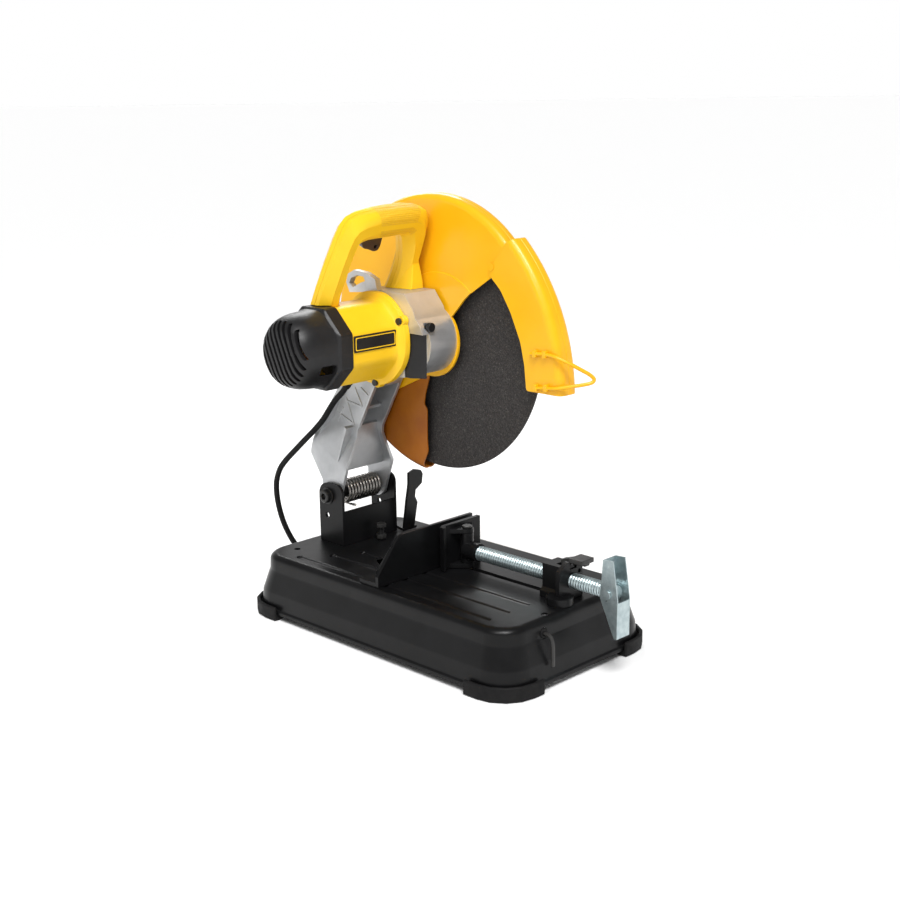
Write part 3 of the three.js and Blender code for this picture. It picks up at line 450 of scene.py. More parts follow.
def rounded(points, radius, steps=4):
    """An outline with each corner replaced by an arc-like curve of about that radius."""
    result = []
    count = len(points)
    for i, corner in enumerate(points):
        here = Vector(corner)
        before = Vector(points[i - 1]) - here
        after = Vector(points[(i + 1) % count]) - here
        reach = min(radius, before.length * 0.48, after.length * 0.48)
        a = here + before.normalized() * reach
        b = here + after.normalized() * reach
        for k in range(steps + 1):
            t = k / steps
            p = a * (1 - t) ** 2 + here * 2 * t * (1 - t) + b * t ** 2
            result.append((p.x, p.y))
    return result


PLANES = {
    "x": Matrix(((0, 0, 1, 0), (1, 0, 0, 0), (0, 1, 0, 0), (0, 0, 0, 1))),
    "y": Matrix(((1, 0, 0, 0), (0, 0, -1, 0), (0, 1, 0, 0), (0, 0, 0, 1))),
    "z": Matrix.Identity(4),
}


def prism(name, outline, axis, low, high, edge=0.0, holes=(), steps=2):
    """A flat outline carried along an axis, in millimetres, with its rims rounded by edge.
    Outlines are (y, z) along x, (x, z) along y and (x, y) along z."""
    curve = bpy.data.curves.new(name, "CURVE")
    curve.dimensions = "2D"
    curve.fill_mode = "BOTH"
    for points in (outline, *holes):
        spline = curve.splines.new("POLY")
        spline.points.add(len(points) - 1)
        for point, (u, v) in zip(spline.points, points):
            point.co = (u / 1000.0, v / 1000.0, 0.0, 1.0)
        spline.use_cyclic_u = True
    curve.extrude = (high - low) / 2000.0 - edge / 1000.0
    curve.bevel_depth = edge / 1000.0
    curve.bevel_resolution = steps
    curve.offset = -edge / 1000.0
    obj = linked(name, curve)
    middle = (low + high) / 2000.0
    if axis == "y":
        middle = -middle
    obj.matrix_world = Matrix.Translation(ORIGIN) @ PLANES[axis] @ Matrix.Translation((0.0, 0.0, middle))
    return welded(settled(obj))


def turned(name, profile, x, y, z, axis="x", segments=64):
    """A solid of revolution. The profile is (distance along the axis, radius) pairs in millimetres."""
    bm = bmesh.new()
    rings = []
    for along, radius in profile:
        if radius < 1e-6:
            rings.append([bm.verts.new((along, 0.0, 0.0))])
            continue
        ring = []
        for i in range(segments):
            a = 2.0 * math.pi * i / segments
            ring.append(bm.verts.new((along, radius * math.cos(a), radius * math.sin(a))))
        rings.append(ring)
    closed = len(rings[0]) > 1
    pairs = list(zip(rings, rings[1:]))
    if closed:
        pairs.append((rings[-1], rings[0]))
    for a, b in pairs:
        for i in range(segments):
            j = (i + 1) % segments
            if len(a) == 1 and len(b) == 1:
                continue
            if len(a) == 1:
                bm.faces.new((a[0], b[j], b[i]))
            elif len(b) == 1:
                bm.faces.new((a[i], a[j], b[0]))
            else:
                bm.faces.new((a[i], a[j], b[j], b[i]))
    bmesh.ops.recalc_face_normals(bm, faces=bm.faces)
    turn = {"x": Matrix.Identity(4), "y": Matrix.Rotation(math.pi / 2, 4, "Z"),
            "z": Matrix.Rotation(-math.pi / 2, 4, "Y")}[axis]
    bm.transform(Matrix.Translation(mm(x, y, z)) @ turn @ Matrix.Scale(0.001, 4))
    return from_bmesh(name, bm)


def loft(name, rings):
    """A closed solid through rings of equally many points in millimetres, capped at both ends."""
    bm = bmesh.new()
    levels = [[bm.verts.new(mm(*p)) for p in ring] for ring in rings]
    count = len(rings[0])
    for a, b in zip(levels, levels[1:]):
        for i in range(count):
            j = (i + 1) % count
            bm.faces.new((a[i], a[j], b[j], b[i]))
    bm.faces.new(levels[0])
    bm.faces.new(levels[-1])
    bmesh.ops.recalc_face_normals(bm, faces=bm.faces)
    return from_bmesh(name, bm)


def tube(name, points, radius, sides=12, closed=False, smooth=True):
    """A round wire along points in millimetres."""
    curve = bpy.data.curves.new(name, "CURVE")
    curve.dimensions = "3D"
    spline = curve.splines.new("NURBS" if smooth else "POLY")
    spline.points.add(len(points) - 1)
    for point, place in zip(spline.points, points):
        point.co = (*mm(*place), 1.0)
    if smooth:
        spline.order_u = 3
        spline.use_endpoint_u = True
        spline.resolution_u = 5
    spline.use_cyclic_u = closed
    curve.bevel_depth = radius / 1000.0
    curve.bevel_resolution = max(1, sides // 4 - 1)
    curve.use_fill_caps = True
    return welded(settled(linked(name, curve)))


def joined(name, *objs):
    bm = bmesh.new()
    for obj in objs:
        bm.from_mesh(obj.data)
    for obj in objs:
        bpy.data.objects.remove(obj)
    return from_bmesh(name, bm)


def carved(obj, *tools, operation="DIFFERENCE"):
    """Cut, join or intersect with the tools, which are used up."""
    for tool in tools:
        modifier = obj.modifiers.new("carve", "BOOLEAN")
        modifier.operation = operation
        modifier.object = tool
        modifier.solver = "EXACT"
    result = settled(obj)
    for tool in tools:
        bpy.data.objects.remove(tool)
    return result


def bevelled(obj, width, segments=2, angle=32.0):
    """Merge flat faces, then round the sharp edges by a width in millimetres."""
    bm = bmesh.new()
    bm.from_mesh(obj.data)
    bmesh.ops.remove_doubles(bm, verts=bm.verts, dist=2e-6)
    bmesh.ops.dissolve_limit(bm, angle_limit=math.radians(1.0), verts=bm.verts, edges=bm.edges)
    bm.to_mesh(obj.data)
    bm.free()
    modifier = obj.modifiers.new("rounded edges", "BEVEL")
    modifier.width = width / 1000.0
    modifier.segments = segments
    modifier.limit_method = "ANGLE"
    modifier.angle_limit = math.radians(angle)
    modifier.use_clamp_overlap = True
    modifier.harden_normals = False
    return settled(obj)


def shaded(obj, angle=32.0):
    """Smooth faces that meet at less than the angle."""
    mesh = obj.data
    mesh.shade_smooth()
    bm = bmesh.new()
    bm.from_mesh(mesh)
    limit = math.radians(angle)
    for edge in bm.edges:
        faces = edge.link_faces
        edge.smooth = len(faces) == 2 and faces[0].normal.angle(faces[1].normal, 0.0) < limit
    bm.to_mesh(mesh)
    bm.free()
    weights = obj.modifiers.new("flat faces stay flat", "WEIGHTED_NORMAL")
    weights.keep_sharp = True
    weights.weight = 90
    return settled(obj)


def piece(obj, nodes, finish=None, angle=32.0, body=None):
    """Dress a piece, let it ride on its node's body and stand for its nodes."""
    nodes = [nodes] if isinstance(nodes, str) else nodes
    slot = SLOT_OF[nodes[0]]
    obj.data.materials.clear()
    obj.data.materials.append(finishes[finish or slot])
    obj = shaded(obj, angle)
    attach(obj, body or BODY_OF[nodes[0]])
    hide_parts(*nodes)
    return obj


def trim(obj, slot, body, finish=None, angle=32.0):
    """Dress a small extra piece that stands for no node of its own."""
    obj.data.materials.clear()
    obj.data.materials.append(finishes[finish or slot])
    obj = shaded(obj, angle)
    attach(obj, body)
    return obj


def tilted(obj, angle, place):
    """Turn a piece drawn at the origin about X and set it down at a place."""
    obj.data.transform(Matrix.Translation(-ORIGIN))
    obj.data.transform(Matrix.Rotation(angle, 4, "X"))
    obj.data.transform(Matrix.Translation(mm(*place)))
    return obj


def copied(node):
    mesh = frame["nodes"][node].data.copy()
    mesh.materials.clear()
    return linked("soft_" + node, mesh)


def soften(widths, segments=2):
    """Let nodes keep their packed form, with edges softened by each one's width."""
    for name, width in widths.items():
        piece(bevelled(copied(name), width, segments), name)


# ---------------------------------------------------------------- cord
CORD_RADIUS = 4.0
FLOOR_GAP = 0.4
ROUTE = [
    (-34, 141.8, 307.3), (-34, 149, 299.3), (-34, 163.8, 286.5), (-34, 177, 271.5), (-34, 190.4, 255.8),
    (-34, 210, 238), (-34, 230.6, 221.3), (-34, 252, 203.5), (-34, 273.9, 185), (-33, 290, 168.5),
    (-31, 301, 149), (-27, 307, 127), (-22, 308.5, 103), (-16, 306, 79), (-8, 300, 56),
    (2, 291, 36), (13, 280.5, 20), (24, 270.5, 9.5), (35, 262, 5), (46, 256, 4.4),
    (54, 253.6, 4.4), (63.5, 253, 4.4),
]
COIL_CENTRE = (97.0, 309.0)
COIL_COLUMNS = 4
COIL_MIDDLE = 44.0
TURNS_IN = 4
TURNS_OUT = 3
LAYER_HEIGHT = 7.6
PLUG_Z = 12.5


def coil_points():
    """Seven turns: four inwards on the floor, then three outwards on top of them."""
    inner = COIL_MIDDLE - CORD_RADIUS * (COIL_COLUMNS - 1)
    outer = COIL_MIDDLE + CORD_RADIUS * (COIL_COLUMNS - 1)
    x, y = COIL_CENTRE
    points = []
    steps = 24
    for i in range(1, (TURNS_IN + TURNS_OUT) * steps + 1):
        turn = i / steps
        angle = math.radians(-90.0) + 2.0 * math.pi * turn
        if turn <= TURNS_IN:
            radius = outer + (inner - outer) * turn / TURNS_IN
            height = CORD_RADIUS + FLOOR_GAP
        else:
            radius = inner + (outer - inner) * (turn - TURNS_IN) / TURNS_OUT
            height = CORD_RADIUS + FLOOR_GAP + LAYER_HEIGHT * min(1.0, (turn - TURNS_IN) * 5.0)
        points.append((x + radius * math.cos(angle), y + radius * math.sin(angle), height))
    return points + [(x + 16.0, y - outer, 12.2), (x + 32.6, y - outer, PLUG_Z)]


def smooth_path(points, per_span=4):
    """Catmull-Rom points through the given ones."""
    places = [Vector(p) for p in points]
    path = []
    for i in range(len(places) - 1):
        a = places[max(i - 1, 0)]
        b = places[i]
        c = places[i + 1]
        d = places[min(i + 2, len(places) - 1)]
        for k in range(per_span):
            t = k / per_span
            path.append(0.5 * ((2 * b) + (c - a) * t + (2 * a - 5 * b + 4 * c - d) * t ** 2
                               + (3 * b - a - 3 * c + d) * t ** 3))
    path.append(places[-1])
    return path


def make_plug():
    """The plug at the end of the coil, with two blades and an earth pin along X."""
    x = COIL_CENTRE[0] + 33.0
    y = COIL_CENTRE[1] - COIL_MIDDLE - (COIL_COLUMNS - 1) * CORD_RADIUS
    ribbed = [(0.2, 0), (0.2, 5), (6, 5.6), (7, 6.4), (9, 6.4), (10, 6), (13, 6.3), (14, 7), (16, 7),
              (17, 6.7), (22, 8), (25, 8), (25, 0)]
    sleeve = turned("plug_sleeve", ribbed, x, y, PLUG_Z, segments=32)
    outline = [(y - 12, 0.8), (y + 12, 0.8), (y + 12, 17), (y + 6, 24.2), (y - 6, 24.2), (y - 12, 17)]
    grip = prism("plug_grip", rounded(outline, 5), "x", x + 22, x + 50, edge=2.5)
    body = trim(joined("plug_body", sleeve, grip), "rubber", "base")
    blades = []
    for side in (-6.3, 6.3):
        outline = rectangle(y + side - 0.8, y + side + 0.8, 9.3, 15.7)
        blades.append(prism("blade", rounded(outline, 0.2, 1), "x", x + 49, x + 66, edge=0.3))
    round_pin = [(49, 0), (49, 2.4), (66.5, 2.4), (68, 1.2), (68, 0)]
    blades.append(turned("earth", round_pin, x, y, PLUG_Z - 8, segments=20))
    pins = trim(joined("plug_pins", *blades), "steel", "base", angle=40)
    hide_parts("plug")
    return [body, pins]


def make_cord():
    plug = make_plug()
    points = [tuple(p) for p in smooth_path(ROUTE, 3)] + coil_points()
    curve = bpy.data.curves.new("power_cord", "CURVE")
    curve.dimensions = "3D"
    spline = curve.splines.new("POLY")
    spline.points.add(len(points) - 1)
    for point, place in zip(spline.points, points):
        point.co = (*mm(*place), 1.0)
    curve.bevel_depth = CORD_RADIUS / 1000.0
    curve.bevel_resolution = 4
    curve.use_fill_caps = True
    cord = linked("power_cord", curve)
    curve.materials.append(finishes["rubber"])
    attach(cord, "base")
    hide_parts("cord", "cord_coil")


# ---------------------------------------------------------------- base
PAN_HALF_WIDTH = 138.0
PAN_HALF_LENGTH = 241.0
PAN_CORNER = 45.0
TABLE_Z = 83.0
TABLE_EDGE = 9.5


def rounded_ring(half_x, half_y, corner, z, steps=12):
    ring = []
    for sx, sy, start in ((1, 1, 0), (-1, 1, 90), (-1, -1, 180), (1, -1, 270)):
        for i in range(steps + 1):
            a = math.radians(start + 90.0 * i / steps)
            ring.append((sx * (half_x - corner) + corner * math.cos(a),
                         sy * (half_y - corner) + corner * math.sin(a), z))
    return ring


def pan_solid(name, inset, drop):
    """The pan's outer form: a rolled rim, a slanted skirt, an upright step and a soft edge to the table."""
    side = [(0.0, 7.5), (0.0, 11.5), (0.4, 12.6), (2.4, 14.2), (3.0, 16.5), (4.4, 33.0), (5.4, 35.5),
            (12.2, 58.0), (13.2, 60.5), (13.5, 63.0), (13.8, 72.0)]
    edge = side[-1][0]
    low = TABLE_Z - TABLE_EDGE
    for i in range(1, 8):
        a = math.radians(90.0 * i / 7)
        side.append((edge + TABLE_EDGE * (1.0 - math.cos(a)), low + TABLE_EDGE * math.sin(a)))
    rings = []
    for level, (out, z) in enumerate(side):
        height = z - drop * (4.0 if level == 0 else 1.0)
        total = out + inset
        corner = PAN_CORNER - 0.6 * total
        rings.append(rounded_ring(PAN_HALF_WIDTH - total, PAN_HALF_LENGTH - total, corner, height))
    return loft(name, rings)


def stadium(x, y0, y1, half):
    """A slot along Y with round ends."""
    return arc((x, y1 - half), half, 0, 180, 8) + arc((x, y0 + half), half, 180, 360, 8)


def through_table(name, outline):
    return prism(name, outline, "z", TABLE_Z - 13.0, TABLE_Z + 7.0)


def make_base():
    """The pressed pan with its three grooves, slots and holes, on four rubber feet."""
    shell = carved(pan_solid("pan", 0.0, 0.0), pan_solid("pan_inside", 2.5, 2.5))
    tools = []
    for x, y0, y1 in ((-102.5, -183, 171), (-69, -183, 142), (-34, -183, 121)):
        rings = []
        for z, half in ((80.8, 2.4), (81.6, 3.6), (83.6, 7.0)):
            rings.append([(*point, z) for point in stadium(x, y0, y1, half)])
        tools.append(loft("groove", rings))
    tools.append(through_table("guide_slot", stadium(SCREW[0], -165, -8, 4.5)))
    tools.append(through_table("kerf_slot", stadium(WHEEL_X, -150, 70, 8.0)))
    for place in ((-83, 196), (-43, -216), (83, 196), (83, -205)):
        tools.append(through_table("hole", arc(place, 4.5, 0, 345, 23)))
    bolt = 4.4
    tools.append(through_table("pivot_hole", arc(FENCE_PIVOT, bolt, 0, 345, 23)))
    slot = arc(FENCE_PIVOT, FENCE_SLOT_RADIUS + bolt, 182.3, 137.6, 16)
    slot += arc(FENCE_PIVOT, FENCE_SLOT_RADIUS - bolt, 137.6, 182.3, 16)
    tools.append(through_table("swivel_slot", slot))
    tools.append(prism("wrench_hole", arc(WRENCH, 7.0, 0, 345, 23), "y", -250, -205))
    shell = carved(shell, *tools)
    piece(bevelled(shell, 0.5, 2, 42.0), "base_pan", angle=34)
    for end in ("front", "rear"):
        for side in ("left", "right"):
            name = f"foot_{end}_{side}"
            piece(bevelled(copied(name), 2.2, 3), name, angle=40)


# ---------------------------------------------------------------- hinge
def make_hinge():
    soften({"hinge_bracket": 1.0})
    profile = [(-42, 0), (-42, 7.6), (-41, 9), (-36, 9.5), (-36, 11.4), (-34.4, 11.6), (-34.4, 8), (76, 8),
               (77, 7), (77, 0)]
    pin = turned("pin", profile, 0, *PIVOT, segments=40)
    socket = prism("socket", arc(PIVOT, 5.0, 0, 300, 5), "x", -46, -38.5)
    piece(carved(pin, socket), "hinge_pin")
    soften({"hinge_nut": 0.9, "stop_bolt": 0.6, "spark_deflector": 1.0})


def make_spring():
    """The torsion spring round the hinge pin, with a short leg at each end."""
    turns = 11
    steps = 24
    left, right, radius = -8.0, 53.0, 14.8
    points = [(left, 158.5, 136.5), (left, 166, 136)]
    for i in range(turns * steps + 1):
        a = -math.pi / 2 + 2 * math.pi * i / steps
        x = left + (right - left) * i / (turns * steps)
        points.append((x, PIVOT[0] - radius * math.cos(a), PIVOT[1] + radius * math.sin(a)))
    points += [(right, 194, 136), (right, 202, 136.5)]
    piece(tube("spring", points, 1.9, 12, smooth=False), "torsion_spring", angle=70)


# ---------------------------------------------------------------- fence, wrench and vise
def make_fence():
    soften({"fence": 1.0, "fence_bolt_pivot": 0.6, "fence_bolt_slide": 0.6})


def make_wrench():
    """The hex wrench, hung in a grommet in the front skirt."""
    x, z = WRENCH
    bend = [(-210.3, z), (-220, z), (-231, z), (-238.5, 64.5), (-241.6, 57), (-242, 44), (-242, 28.6)]
    piece(tube("wrench", [(x, *place) for place in bend], 2.4, 8), "hex_wrench", angle=25)
    lips = [(-0.9, 2.9), (-0.9, 5.6), (0, 6.6), (9, 6.6), (9.8, 5.6), (9.8, 2.9)]
    piece(turned("grommet", lips, x, -228, z, axis="y", segments=32), "wrench_grommet", body="base")


THREAD_DEPTH = 1.15


def thread(name, x, z, start, end, radius, pitch):
    """A threaded bar along Y: the radius follows the thread, which climbs once a pitch."""
    sides = 40
    rows_per_turn = 8
    rows = int((end - start) / pitch * rows_per_turn)
    bm = bmesh.new()
    levels = []
    for row in range(rows + 1):
        y = start + (end - start) * row / rows
        ring = []
        for i in range(sides):
            a = 2 * math.pi * i / sides
            phase = ((y - start) / pitch - i / sides) % 1.0
            r = radius - THREAD_DEPTH * min(1.0, max(0.0, 1.6 * abs(2.0 * phase - 1.0) - 0.25))
            ring.append(bm.verts.new(mm(x + r * math.cos(a), y, z + r * math.sin(a))))
        levels.append(ring)
    for a, b in zip(levels, levels[1:]):
        for i in range(sides):
            j = (i + 1) % sides
            bm.faces.new((a[i], a[j], b[j], b[i]))
    bm.faces.new(levels[0])
    bm.faces.new(levels[-1])
    bmesh.ops.recalc_face_normals(bm, faces=bm.faces)
    return from_bmesh(name, bm)


def make_vise():
    screw = thread("screw", *SCREW, start=-276.0, end=-50.3, radius=9.7, pitch=4.0)
    profile = [(-52, 0), (-52, 6.6), (-41, 6.6), (-40.3, 5.6), (-40.3, 0)]
    neck = turned("neck", profile, SCREW[0], 0, SCREW[1], axis="y")
    piece(joined("threaded_screw", screw, neck), "vise_screw", angle=50)
    soften({"vise_block": 1.6, "nut_lever": 0.8, "jaw": 1.2, "jaw_barrel": 0.8, "jaw_pin": 0.6})
    soften({"crank": 1.0, "crank_rivet": 1.2})


# ---------------------------------------------------------------- arm and gear case
# Raised ribs on the left face of the arm, as ends (y, z).
RIBS = [
    ((191, 246), (178, 271)), ((171, 285), (156, 248)), ((168, 281), (140, 277)), ((153, 302), (139, 277)),
    ((141, 303), (127, 294)), ((191, 300), (177, 290)), ((189, 262), (160, 252)),
]


def make_ribs():
    bars = []
    for a, b in RIBS:
        along = (Vector(b) - Vector(a)).normalized()
        side = Vector((-along.y, along.x)) * 1.3
        a, b = Vector(a), Vector(b)
        outline = [tuple(a + side), tuple(b + side), tuple(b - side), tuple(a - side)]
        bars.append(prism("rib", rounded(outline, 0.8, 2), "x", -9.2, -7.6, edge=0.5))
    trim(joined("arm_ribs", *bars), "cast_aluminium", "arm")


def make_arm():
    make_ribs()
    soften({"arm": 2.0, "gear_case": 2.0, "air_baffle": 1.0, "spindle_lock": 0.8}, segments=3)


# ---------------------------------------------------------------- wheel and guards
def make_wheel():
    r = 177.5
    face = 1.4
    bore = 12.7
    rim = [(face, bore), (face, r - 0.5), (face - 0.4, r)]
    profile = [(-x, reach) for x, reach in rim] + rim[::-1]
    piece(turned("disc", profile, WHEEL_X, *SPINDLE, segments=160), "wheel", angle=40)
    soften({name: 0.8 for name in ("inner_flange", "outer_flange", "wheel_bolt", "spindle")})


def sheet_drum(name, left, right, radius, soft, y, z, segments):
    """A closed drum with rounded rims and a seam groove round its middle."""
    def rim(x, toward):
        points = []
        for i in range(7):
            a = math.radians(90.0 * i / 6)
            points.append((x + toward * soft * (1 - math.sin(a)), radius - soft + soft * math.cos(a)))
        return points
    middle = (left + right) / 2
    groove = ((-1.0, 0.0), (-0.3, 0.7), (0.3, 0.7), (1.0, 0.0))
    seam = [(middle + across, radius - depth) for across, depth in groove]
    outline = [(left, 0), *reversed(rim(left, 1)), *seam, *rim(right, -1), (right, 0)]
    return turned(name, outline, 0, y, z, segments=segments)


GUARD_SHEET = 1.6
GUARD_CENTRE = (60.0, 373.0)


def drum_shell(name, left, right, radius, soft, y, z, segments=180):
    """A drum hollowed to the thickness of the guards' sheet."""
    shell = sheet_drum(name, left, right, radius, soft, y, z, segments)
    inside = sheet_drum("inside", left + GUARD_SHEET, right - GUARD_SHEET, radius - GUARD_SHEET,
                        soft - GUARD_SHEET * 0.6, y, z, segments)
    return carved(shell, inside)


def kept_in(obj, region):
    """Keep only what lies inside an outline (y, z)."""
    return carved(obj, prism("region", region, "x", 20, 100), operation="INTERSECT")


def hub_hole(left, right, radius):
    return turned("hub_hole", [(left, 0), (left, radius), (right, radius), (right, 0)], 0, *SPINDLE)


def make_upper_guard():
    region = [(-48.2, 459.7), (-11.6, 436.3), (-3, 429), (21.1, 403.6)]
    region += arc((58, 371), 49.5, 145, 274, 14)
    region += [(65.4, 321.7), (280, 225), (320, 620), (-160, 620), (-130, 528)]
    guard = kept_in(drum_shell("upper", 46.0, 74.0, 186.5, 9.0, *GUARD_CENTRE), region)
    guard = carved(guard, hub_hole(40, 50, 22), hub_hole(60, 90, 34))
    ring = [(44.4, 0), (44.4, 84.6), (44.9, 85.7), (46.4, 86.4), (46.4, 0)]
    boss = kept_in(turned("boss", ring, 0, 44.0, 374.0, segments=96), region)
    boss = carved(boss, hub_hole(40, 50, 22))
    guard = carved(guard, boss, operation="UNION")
    piece(bevelled(guard, 0.5, 2, 50.0), "upper_guard", angle=28)


def make_rear_guard():
    region = [(66, 330), (66, 321.7), (75.6, 293.3), (77.9, 279.3), (72.3, 274.7), (73.4, 232),
              (71.9, 215.6), (82, 195.8), (84, 150), (300, 150), (300, 232)]
    guard = kept_in(drum_shell("rear", 47.9, 72.1, 184.6, 8.0, *GUARD_CENTRE), rounded(region, 5))
    # The rear guard takes the darker paint: painted shade in its colour.
    piece(bevelled(guard, 0.5, 2, 50.0), "rear_guard", finish="painted_shade_guard_paint", angle=28)


def make_front_guard():
    region = [(-45.5, 468.4), (-50.6, 460.1), (-65.7, 446.5), (-82.4, 420.7), (-98.9, 385.1),
              (-105.5, 357.1), (-108.7, 324.8), (-220, 324.8), (-220, 600), (-130, 540), (-91, 514.6),
              (-74.5, 505)]
    guard = kept_in(drum_shell("front", 43.5, 76.5, 265.5, 10.0, 100.0, 319.5, 220), rounded(region, 4))
    piece(bevelled(guard, 0.5, 2, 50.0), "front_guard", angle=28)


def make_wire_handle():
    """The bent wire, the rivet of the front guard and the clips that hold the wire on."""
    x = 40.5
    upper = [(x, -118, 373), (x, -130, 374.5), (x, -141, 375), (x, -152, 375), (x, -161, 373.4)]
    nose = [(x + 8, -174, 367), (60, -186, 357.5), (67, -190, 353), (73, -193.5, 347), (72, -193, 343),
            (66, -190, 341), (x + 10, -175, 338)]
    lower = [(x, -162, 335.5), (x, -153, 334), (x, -144, 333.5), (x, -134, 332), (x, -123, 331)]
    piece(tube("wire", upper + nose + lower, 2.4, 16), "wire_handle", angle=60)
    piece(bevelled(copied("guard_rivet"), 0.4, 2), "guard_rivet", finish="yellow_paint")
    clips = []
    for y, z in ((-126, 374), (-142, 375), (-127, 331.6), (-144, 333.6)):
        outline = rectangle(y - 3, y + 3, z - 4.5, z + 4.5)
        clips.append(prism("clip", rounded(outline, 1.5), "x", 37.6, 43.4, edge=0.8))
    trim(joined("wire_clips", *clips), "yellow_paint", "front_guard")


# ---------------------------------------------------------------- motor
def octagon_ring(x, apothem, corner, steps=5):
    """A rounded octagon across the motor's axis, by the distance of its flats."""
    reach = apothem / math.cos(math.pi / 8)
    points = []
    for k in range(8):
        a = math.radians(22.5 + 45.0 * k)
        points.append((reach * math.cos(a), reach * math.sin(a)))
    return [(x, MOTOR[0] + u, MOTOR[1] + v) for u, v in rounded(points, corner, steps)]


def plate_outline(inset):
    """The blank name plate, in x and z, drawn in by an inset."""
    left, right = -101.5 + inset, -30.5 - inset
    low, high = 373.8 + inset, 394.8 - inset
    return rounded(rectangle(left, right, low, high), 2.0, 3)


# Stations along the motor's axis: x, the distance of the flats and the radius of the corners.
HOUSING_STATIONS = [
    (-103.0, 49.2, 6), (-102.2, 50.0, 6), (-70.0, 50.0, 6), (-42.0, 50.0, 7), (-34.0, 50.4, 9),
    (-29.0, 52.2, 13), (-26.0, 55.6, 18), (-24.6, 59.4, 22), (-24.0, 60.2, 22), (-22.5, 60.7, 22),
    (-16.0, 60.7, 22), (-15.0, 60.0, 22),
]
CAP_STATIONS = [
    (-103.3, 50.8, 3), (-104.0, 51.6, 3), (-122.5, 51.6, 3), (-124.5, 50.4, 4), (-126.0, 49.2, 12),
    (-134.0, 48.6, 26), (-146.0, 47.8, 40), (-156.0, 46.4, 40), (-164.0, 44.0, 38), (-170.0, 41.0, 36),
    (-175.0, 36.6, 33), (-178.2, 31.0, 28), (-179.7, 22.0, 20), (-180.0, 8.0, 7),
]
LOBE_CIRCLE = 58.0
VENT_CIRCLE = 41.0
VENT_TURN = math.radians(-24.0)


def make_motor_housing():
    body = loft("housing", [octagon_ring(*station) for station in HOUSING_STATIONS])
    lobe = [(-24, 0), (-24, 6.4), (-23.3, 7), (-15.2, 7), (-15.2, 0)]
    for angle in (16.0, 152.0, 266.0):
        y = MOTOR[0] + LOBE_CIRCLE * math.cos(math.radians(angle))
        z = MOTOR[1] + LOBE_CIRCLE * math.sin(math.radians(angle))
        body = carved(body, turned("lobe", lobe, 0, y, z, segments=36), operation="UNION")
    bore = turned("bore", [(-110, 0), (-110, 43.5), (-10, 43.5), (-10, 0)], 0, *MOTOR, segments=80)
    piece(carved(body, bore), "motor_housing", angle=25)
    plate = prism("plate", plate_outline(0.0), "y", MOTOR[0] - 51.2, MOTOR[0] - 49.5, edge=0.4)
    trim(plate, "black_plastic", "arm")
    line = prism("plate_line", plate_outline(2.2), "y", MOTOR[0] - 51.5, MOTOR[0] - 51.0, edge=0.1,
                 holes=[plate_outline(3.4)])
    trim(line, "yellow_plastic", "arm")


def make_end_cap():
    cap = loft("cap", [octagon_ring(*station) for station in CAP_STATIONS])
    inside = [(-176.5, 0), (-176.5, 24), (-173, 33), (-167, 39), (-155, 43.5), (-125, 46), (-100, 47.5),
              (-100, 0)]
    cap = carved(cap, turned("cap_hollow", inside, 0, *MOTOR, segments=64))
    tools = []
    for i in range(10):
        y = -36.0 + 8.0 * i
        reach = math.sqrt(VENT_CIRCLE ** 2 - y ** 2)
        slot = prism("vent", rounded(rectangle(y - 2.1, y + 2.1, -reach, reach), 1.9), "x", -185, -164)
        tools.append(tilted(slot, VENT_TURN, (0, *MOTOR)))
    recess = rounded(rectangle(-150, -128, 351, 363), 3)
    tools.append(prism("recess", recess, "y", MOTOR[0] - 60.0, MOTOR[0] - 30.0))
    cap = carved(cap, *tools)
    piece(bevelled(cap, 0.6, 2, 40.0), "end_cap", angle=30)
    soften({"housing_screw_" + end: 0.8 for end in ("top", "front", "bottom")})


# ---------------------------------------------------------------- handle
HANDLE_TILT = math.radians(23.3)
HANDLE_FOOT = (0, 105, 427)


def leaning(obj):
    """Turn a piece drawn upright over y = 0, z = 0 into the handle's leaning plane."""
    return tilted(obj, HANDLE_TILT, HANDLE_FOOT)


def block(name, x0, x1, y0, y1, z0, z1):
    return prism(name, rectangle(x0, x1, z0, z1), "y", y0, y1)


# Stations along the D-handle, from the left foot over the grip to the right foot: (x, v) of the outer edge
# and of the inner edge, where v runs up the leaning plane, and how faceted the section is there.
HANDLE_STATIONS = [
    ((-115, -14), (-77, -14), 1.0), ((-113, 20), (-80, 20), 1.0), ((-109, 55), (-79, 52), 1.0),
    ((-103.5, 92), (-77, 73), 1.0), ((-99.5, 110), (-74, 83), 1.0), ((-93, 120), (-69, 88), 0.9),
    ((-79, 126.0), (-60, 91), 0.6), ((-55, 129.5), (-47, 92.5), 0.2), ((-28, 131), (-28, 93.5), 0.0),
    ((-2, 131.5), (-14, 95), 0.0), ((18, 129.5), (-5, 94), 0.3), ((31, 125), (0, 89), 0.6),
    ((39, 115), (4, 81), 0.8), ((41.5, 100), (8, 70), 1.0), ((40.5, 76), (12, 57), 1.0),
    ((39.5, 50), (14, 42), 1.0), ((40, 22), (12.5, 20), 1.0), ((41, -14), (5, -14), 1.0),
]
SEAM = 0.15
SHELL_DEPTH = 16.5
ROUNDNESS = 3.0
FACET_ANGLE = 20.0


def section(angle, faceted):
    """A point of the handle's section in a unit square: between a soft rectangle and an octagon."""
    c = abs(math.cos(angle))
    s = abs(math.sin(angle))
    soft = (c ** ROUNDNESS + s ** ROUNDNESS) ** (-1 / ROUNDNESS)
    chamfer = (c + s) / (1.0 + math.tan(math.radians(FACET_ANGLE)))
    octagon = 1.0 / max(c, s, chamfer)
    reach = faceted * octagon + (1.0 - faceted) * soft
    return math.cos(angle) * reach, s * reach


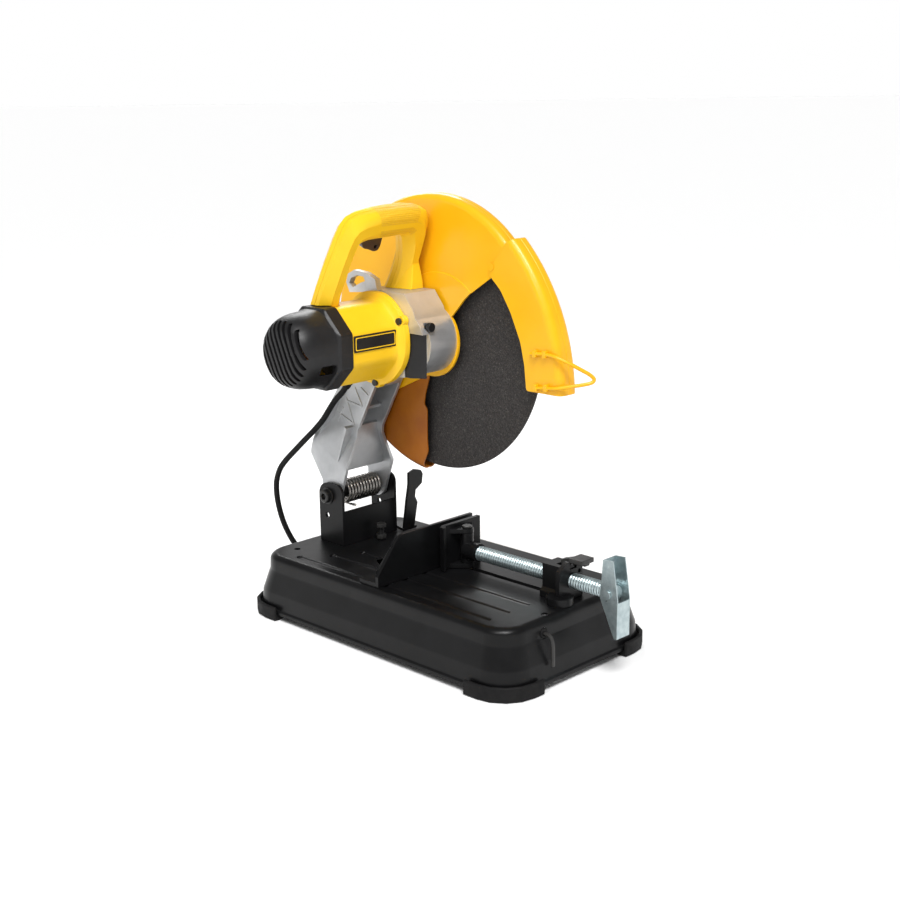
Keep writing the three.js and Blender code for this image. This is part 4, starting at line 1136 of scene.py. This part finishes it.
def handle_half(name, side):
    """One moulded shell of the handle, flat along the seam."""
    rings = []
    for outer, inner, faceted in HANDLE_STATIONS:
        middle = (Vector(outer) + Vector(inner)) / 2
        reach = (Vector(outer) - Vector(inner)) / 2
        ring = [(*(middle + reach * 0.985), side * SEAM)]
        for i in range(37):
            across, out = section(math.radians(5.0 * i), faceted)
            ring.append((*(middle + reach * across), side * (SEAM + 0.4 + SHELL_DEPTH * out)))
        ring.append((*(middle - reach * 0.985), side * SEAM))
        rings.append([(x, y, v) for x, v, y in ring])
    return leaning(loft(name, rings))


# The right foot of the handle widens towards the front: height v, inner x, outer x and front y.
FOOT_LEVELS = [
    (-12, 9, 41, -36), (8, 11, 41, -35.5), (24, 14, 40, -33), (34, 16, 39, -29), (48, 19, 37, -21),
    (60, 21, 35, -14),
]


def foot_ring(v, inner, outer, front):
    corners = rounded([(inner, -3.0), (outer, -3.0), (outer - 1.0, front), (inner + 2.0, front)], 2.5, 3)
    return [(x, y, v) for x, y in corners]


def textured(shell):
    """Give the upper grip a stippled finish, in a patch around its length."""
    shell.data.materials.append(finishes["grip"])
    back = Matrix.Rotation(-HANDLE_TILT, 3, "X")
    start = mm(*HANDLE_FOOT)
    for face in shell.data.polygons:
        local = back @ (face.center - start) * 1000.0
        if -50.0 < local.x < 14.0 and local.z > 99.0:
            face.material_index = 1


def make_handle():
    for name, side in (("handle_front", -1), ("handle_rear", 1)):
        half = handle_half(name, side)
        if side < 0:
            foot = loft("foot", [foot_ring(*level) for level in FOOT_LEVELS])
            half = carved(half, leaning(foot), operation="UNION")
        half = carved(half, block("housing_top", -200, -40, 0, 200, 300, 427.3),
                      block("case_top", -40, 200, 0, 200, 300, 438.3),
                      block("cap_top", -200, -100, 0, 200, 300, 429.6),
                      leaning(block("pocket", -66, -30, -7, 7, 70, 110)))
        shell = piece(bevelled(half, 0.5, 1, 55.0), name, angle=26)
        textured(shell)
    lever = [(-66, 86), (-61, 79), (-52, 77), (-42, 73), (-35, 74), (-32.5, 80), (-33, 97), (-65, 97)]
    pin_hole = arc((-41, 80), 2.4, 0, 342, 19)
    trigger = prism("trigger", rounded(lever, 3), "y", -6, 6, edge=1.2, holes=[pin_hole])
    piece(leaning(trigger), "trigger")


def make_strain_relief():
    """The ribbed rubber sleeve round the cord where it leaves the housing."""
    ribs = [(6, 6.6), (9, 6.5), (10, 5.7), (12, 5.7), (13, 6.2), (15, 6.1), (16, 5.4), (18, 5.4), (19, 5.9),
            (21, 5.8), (22, 5.2), (24, 5.2), (25, 5.6), (29, 5.2)]
    profile = [(0, 0), (0, 8), (4, 8), *ribs, (30, 4.6), (30, 0)]
    relief = turned("relief", profile, 0, 0, 0, axis="y", segments=32)
    piece(tilted(relief, math.radians(-50.0), (-34, 122.1, 330.7)), "strain_relief")


make_camera()
make_studio()
make_floor()
make_cord()
make_base()
make_hinge()
make_spring()
make_fence()
make_wrench()
make_vise()
make_arm()
make_wheel()
make_upper_guard()
make_rear_guard()
make_front_guard()
make_wire_handle()
make_motor_housing()
make_end_cap()
make_handle()
make_strain_relief()
for node_name, node in frame["nodes"].items():
    if not node.hide_render:
        node.data.materials.clear()
        node.data.materials.append(finishes[SLOT_OF[node_name]])
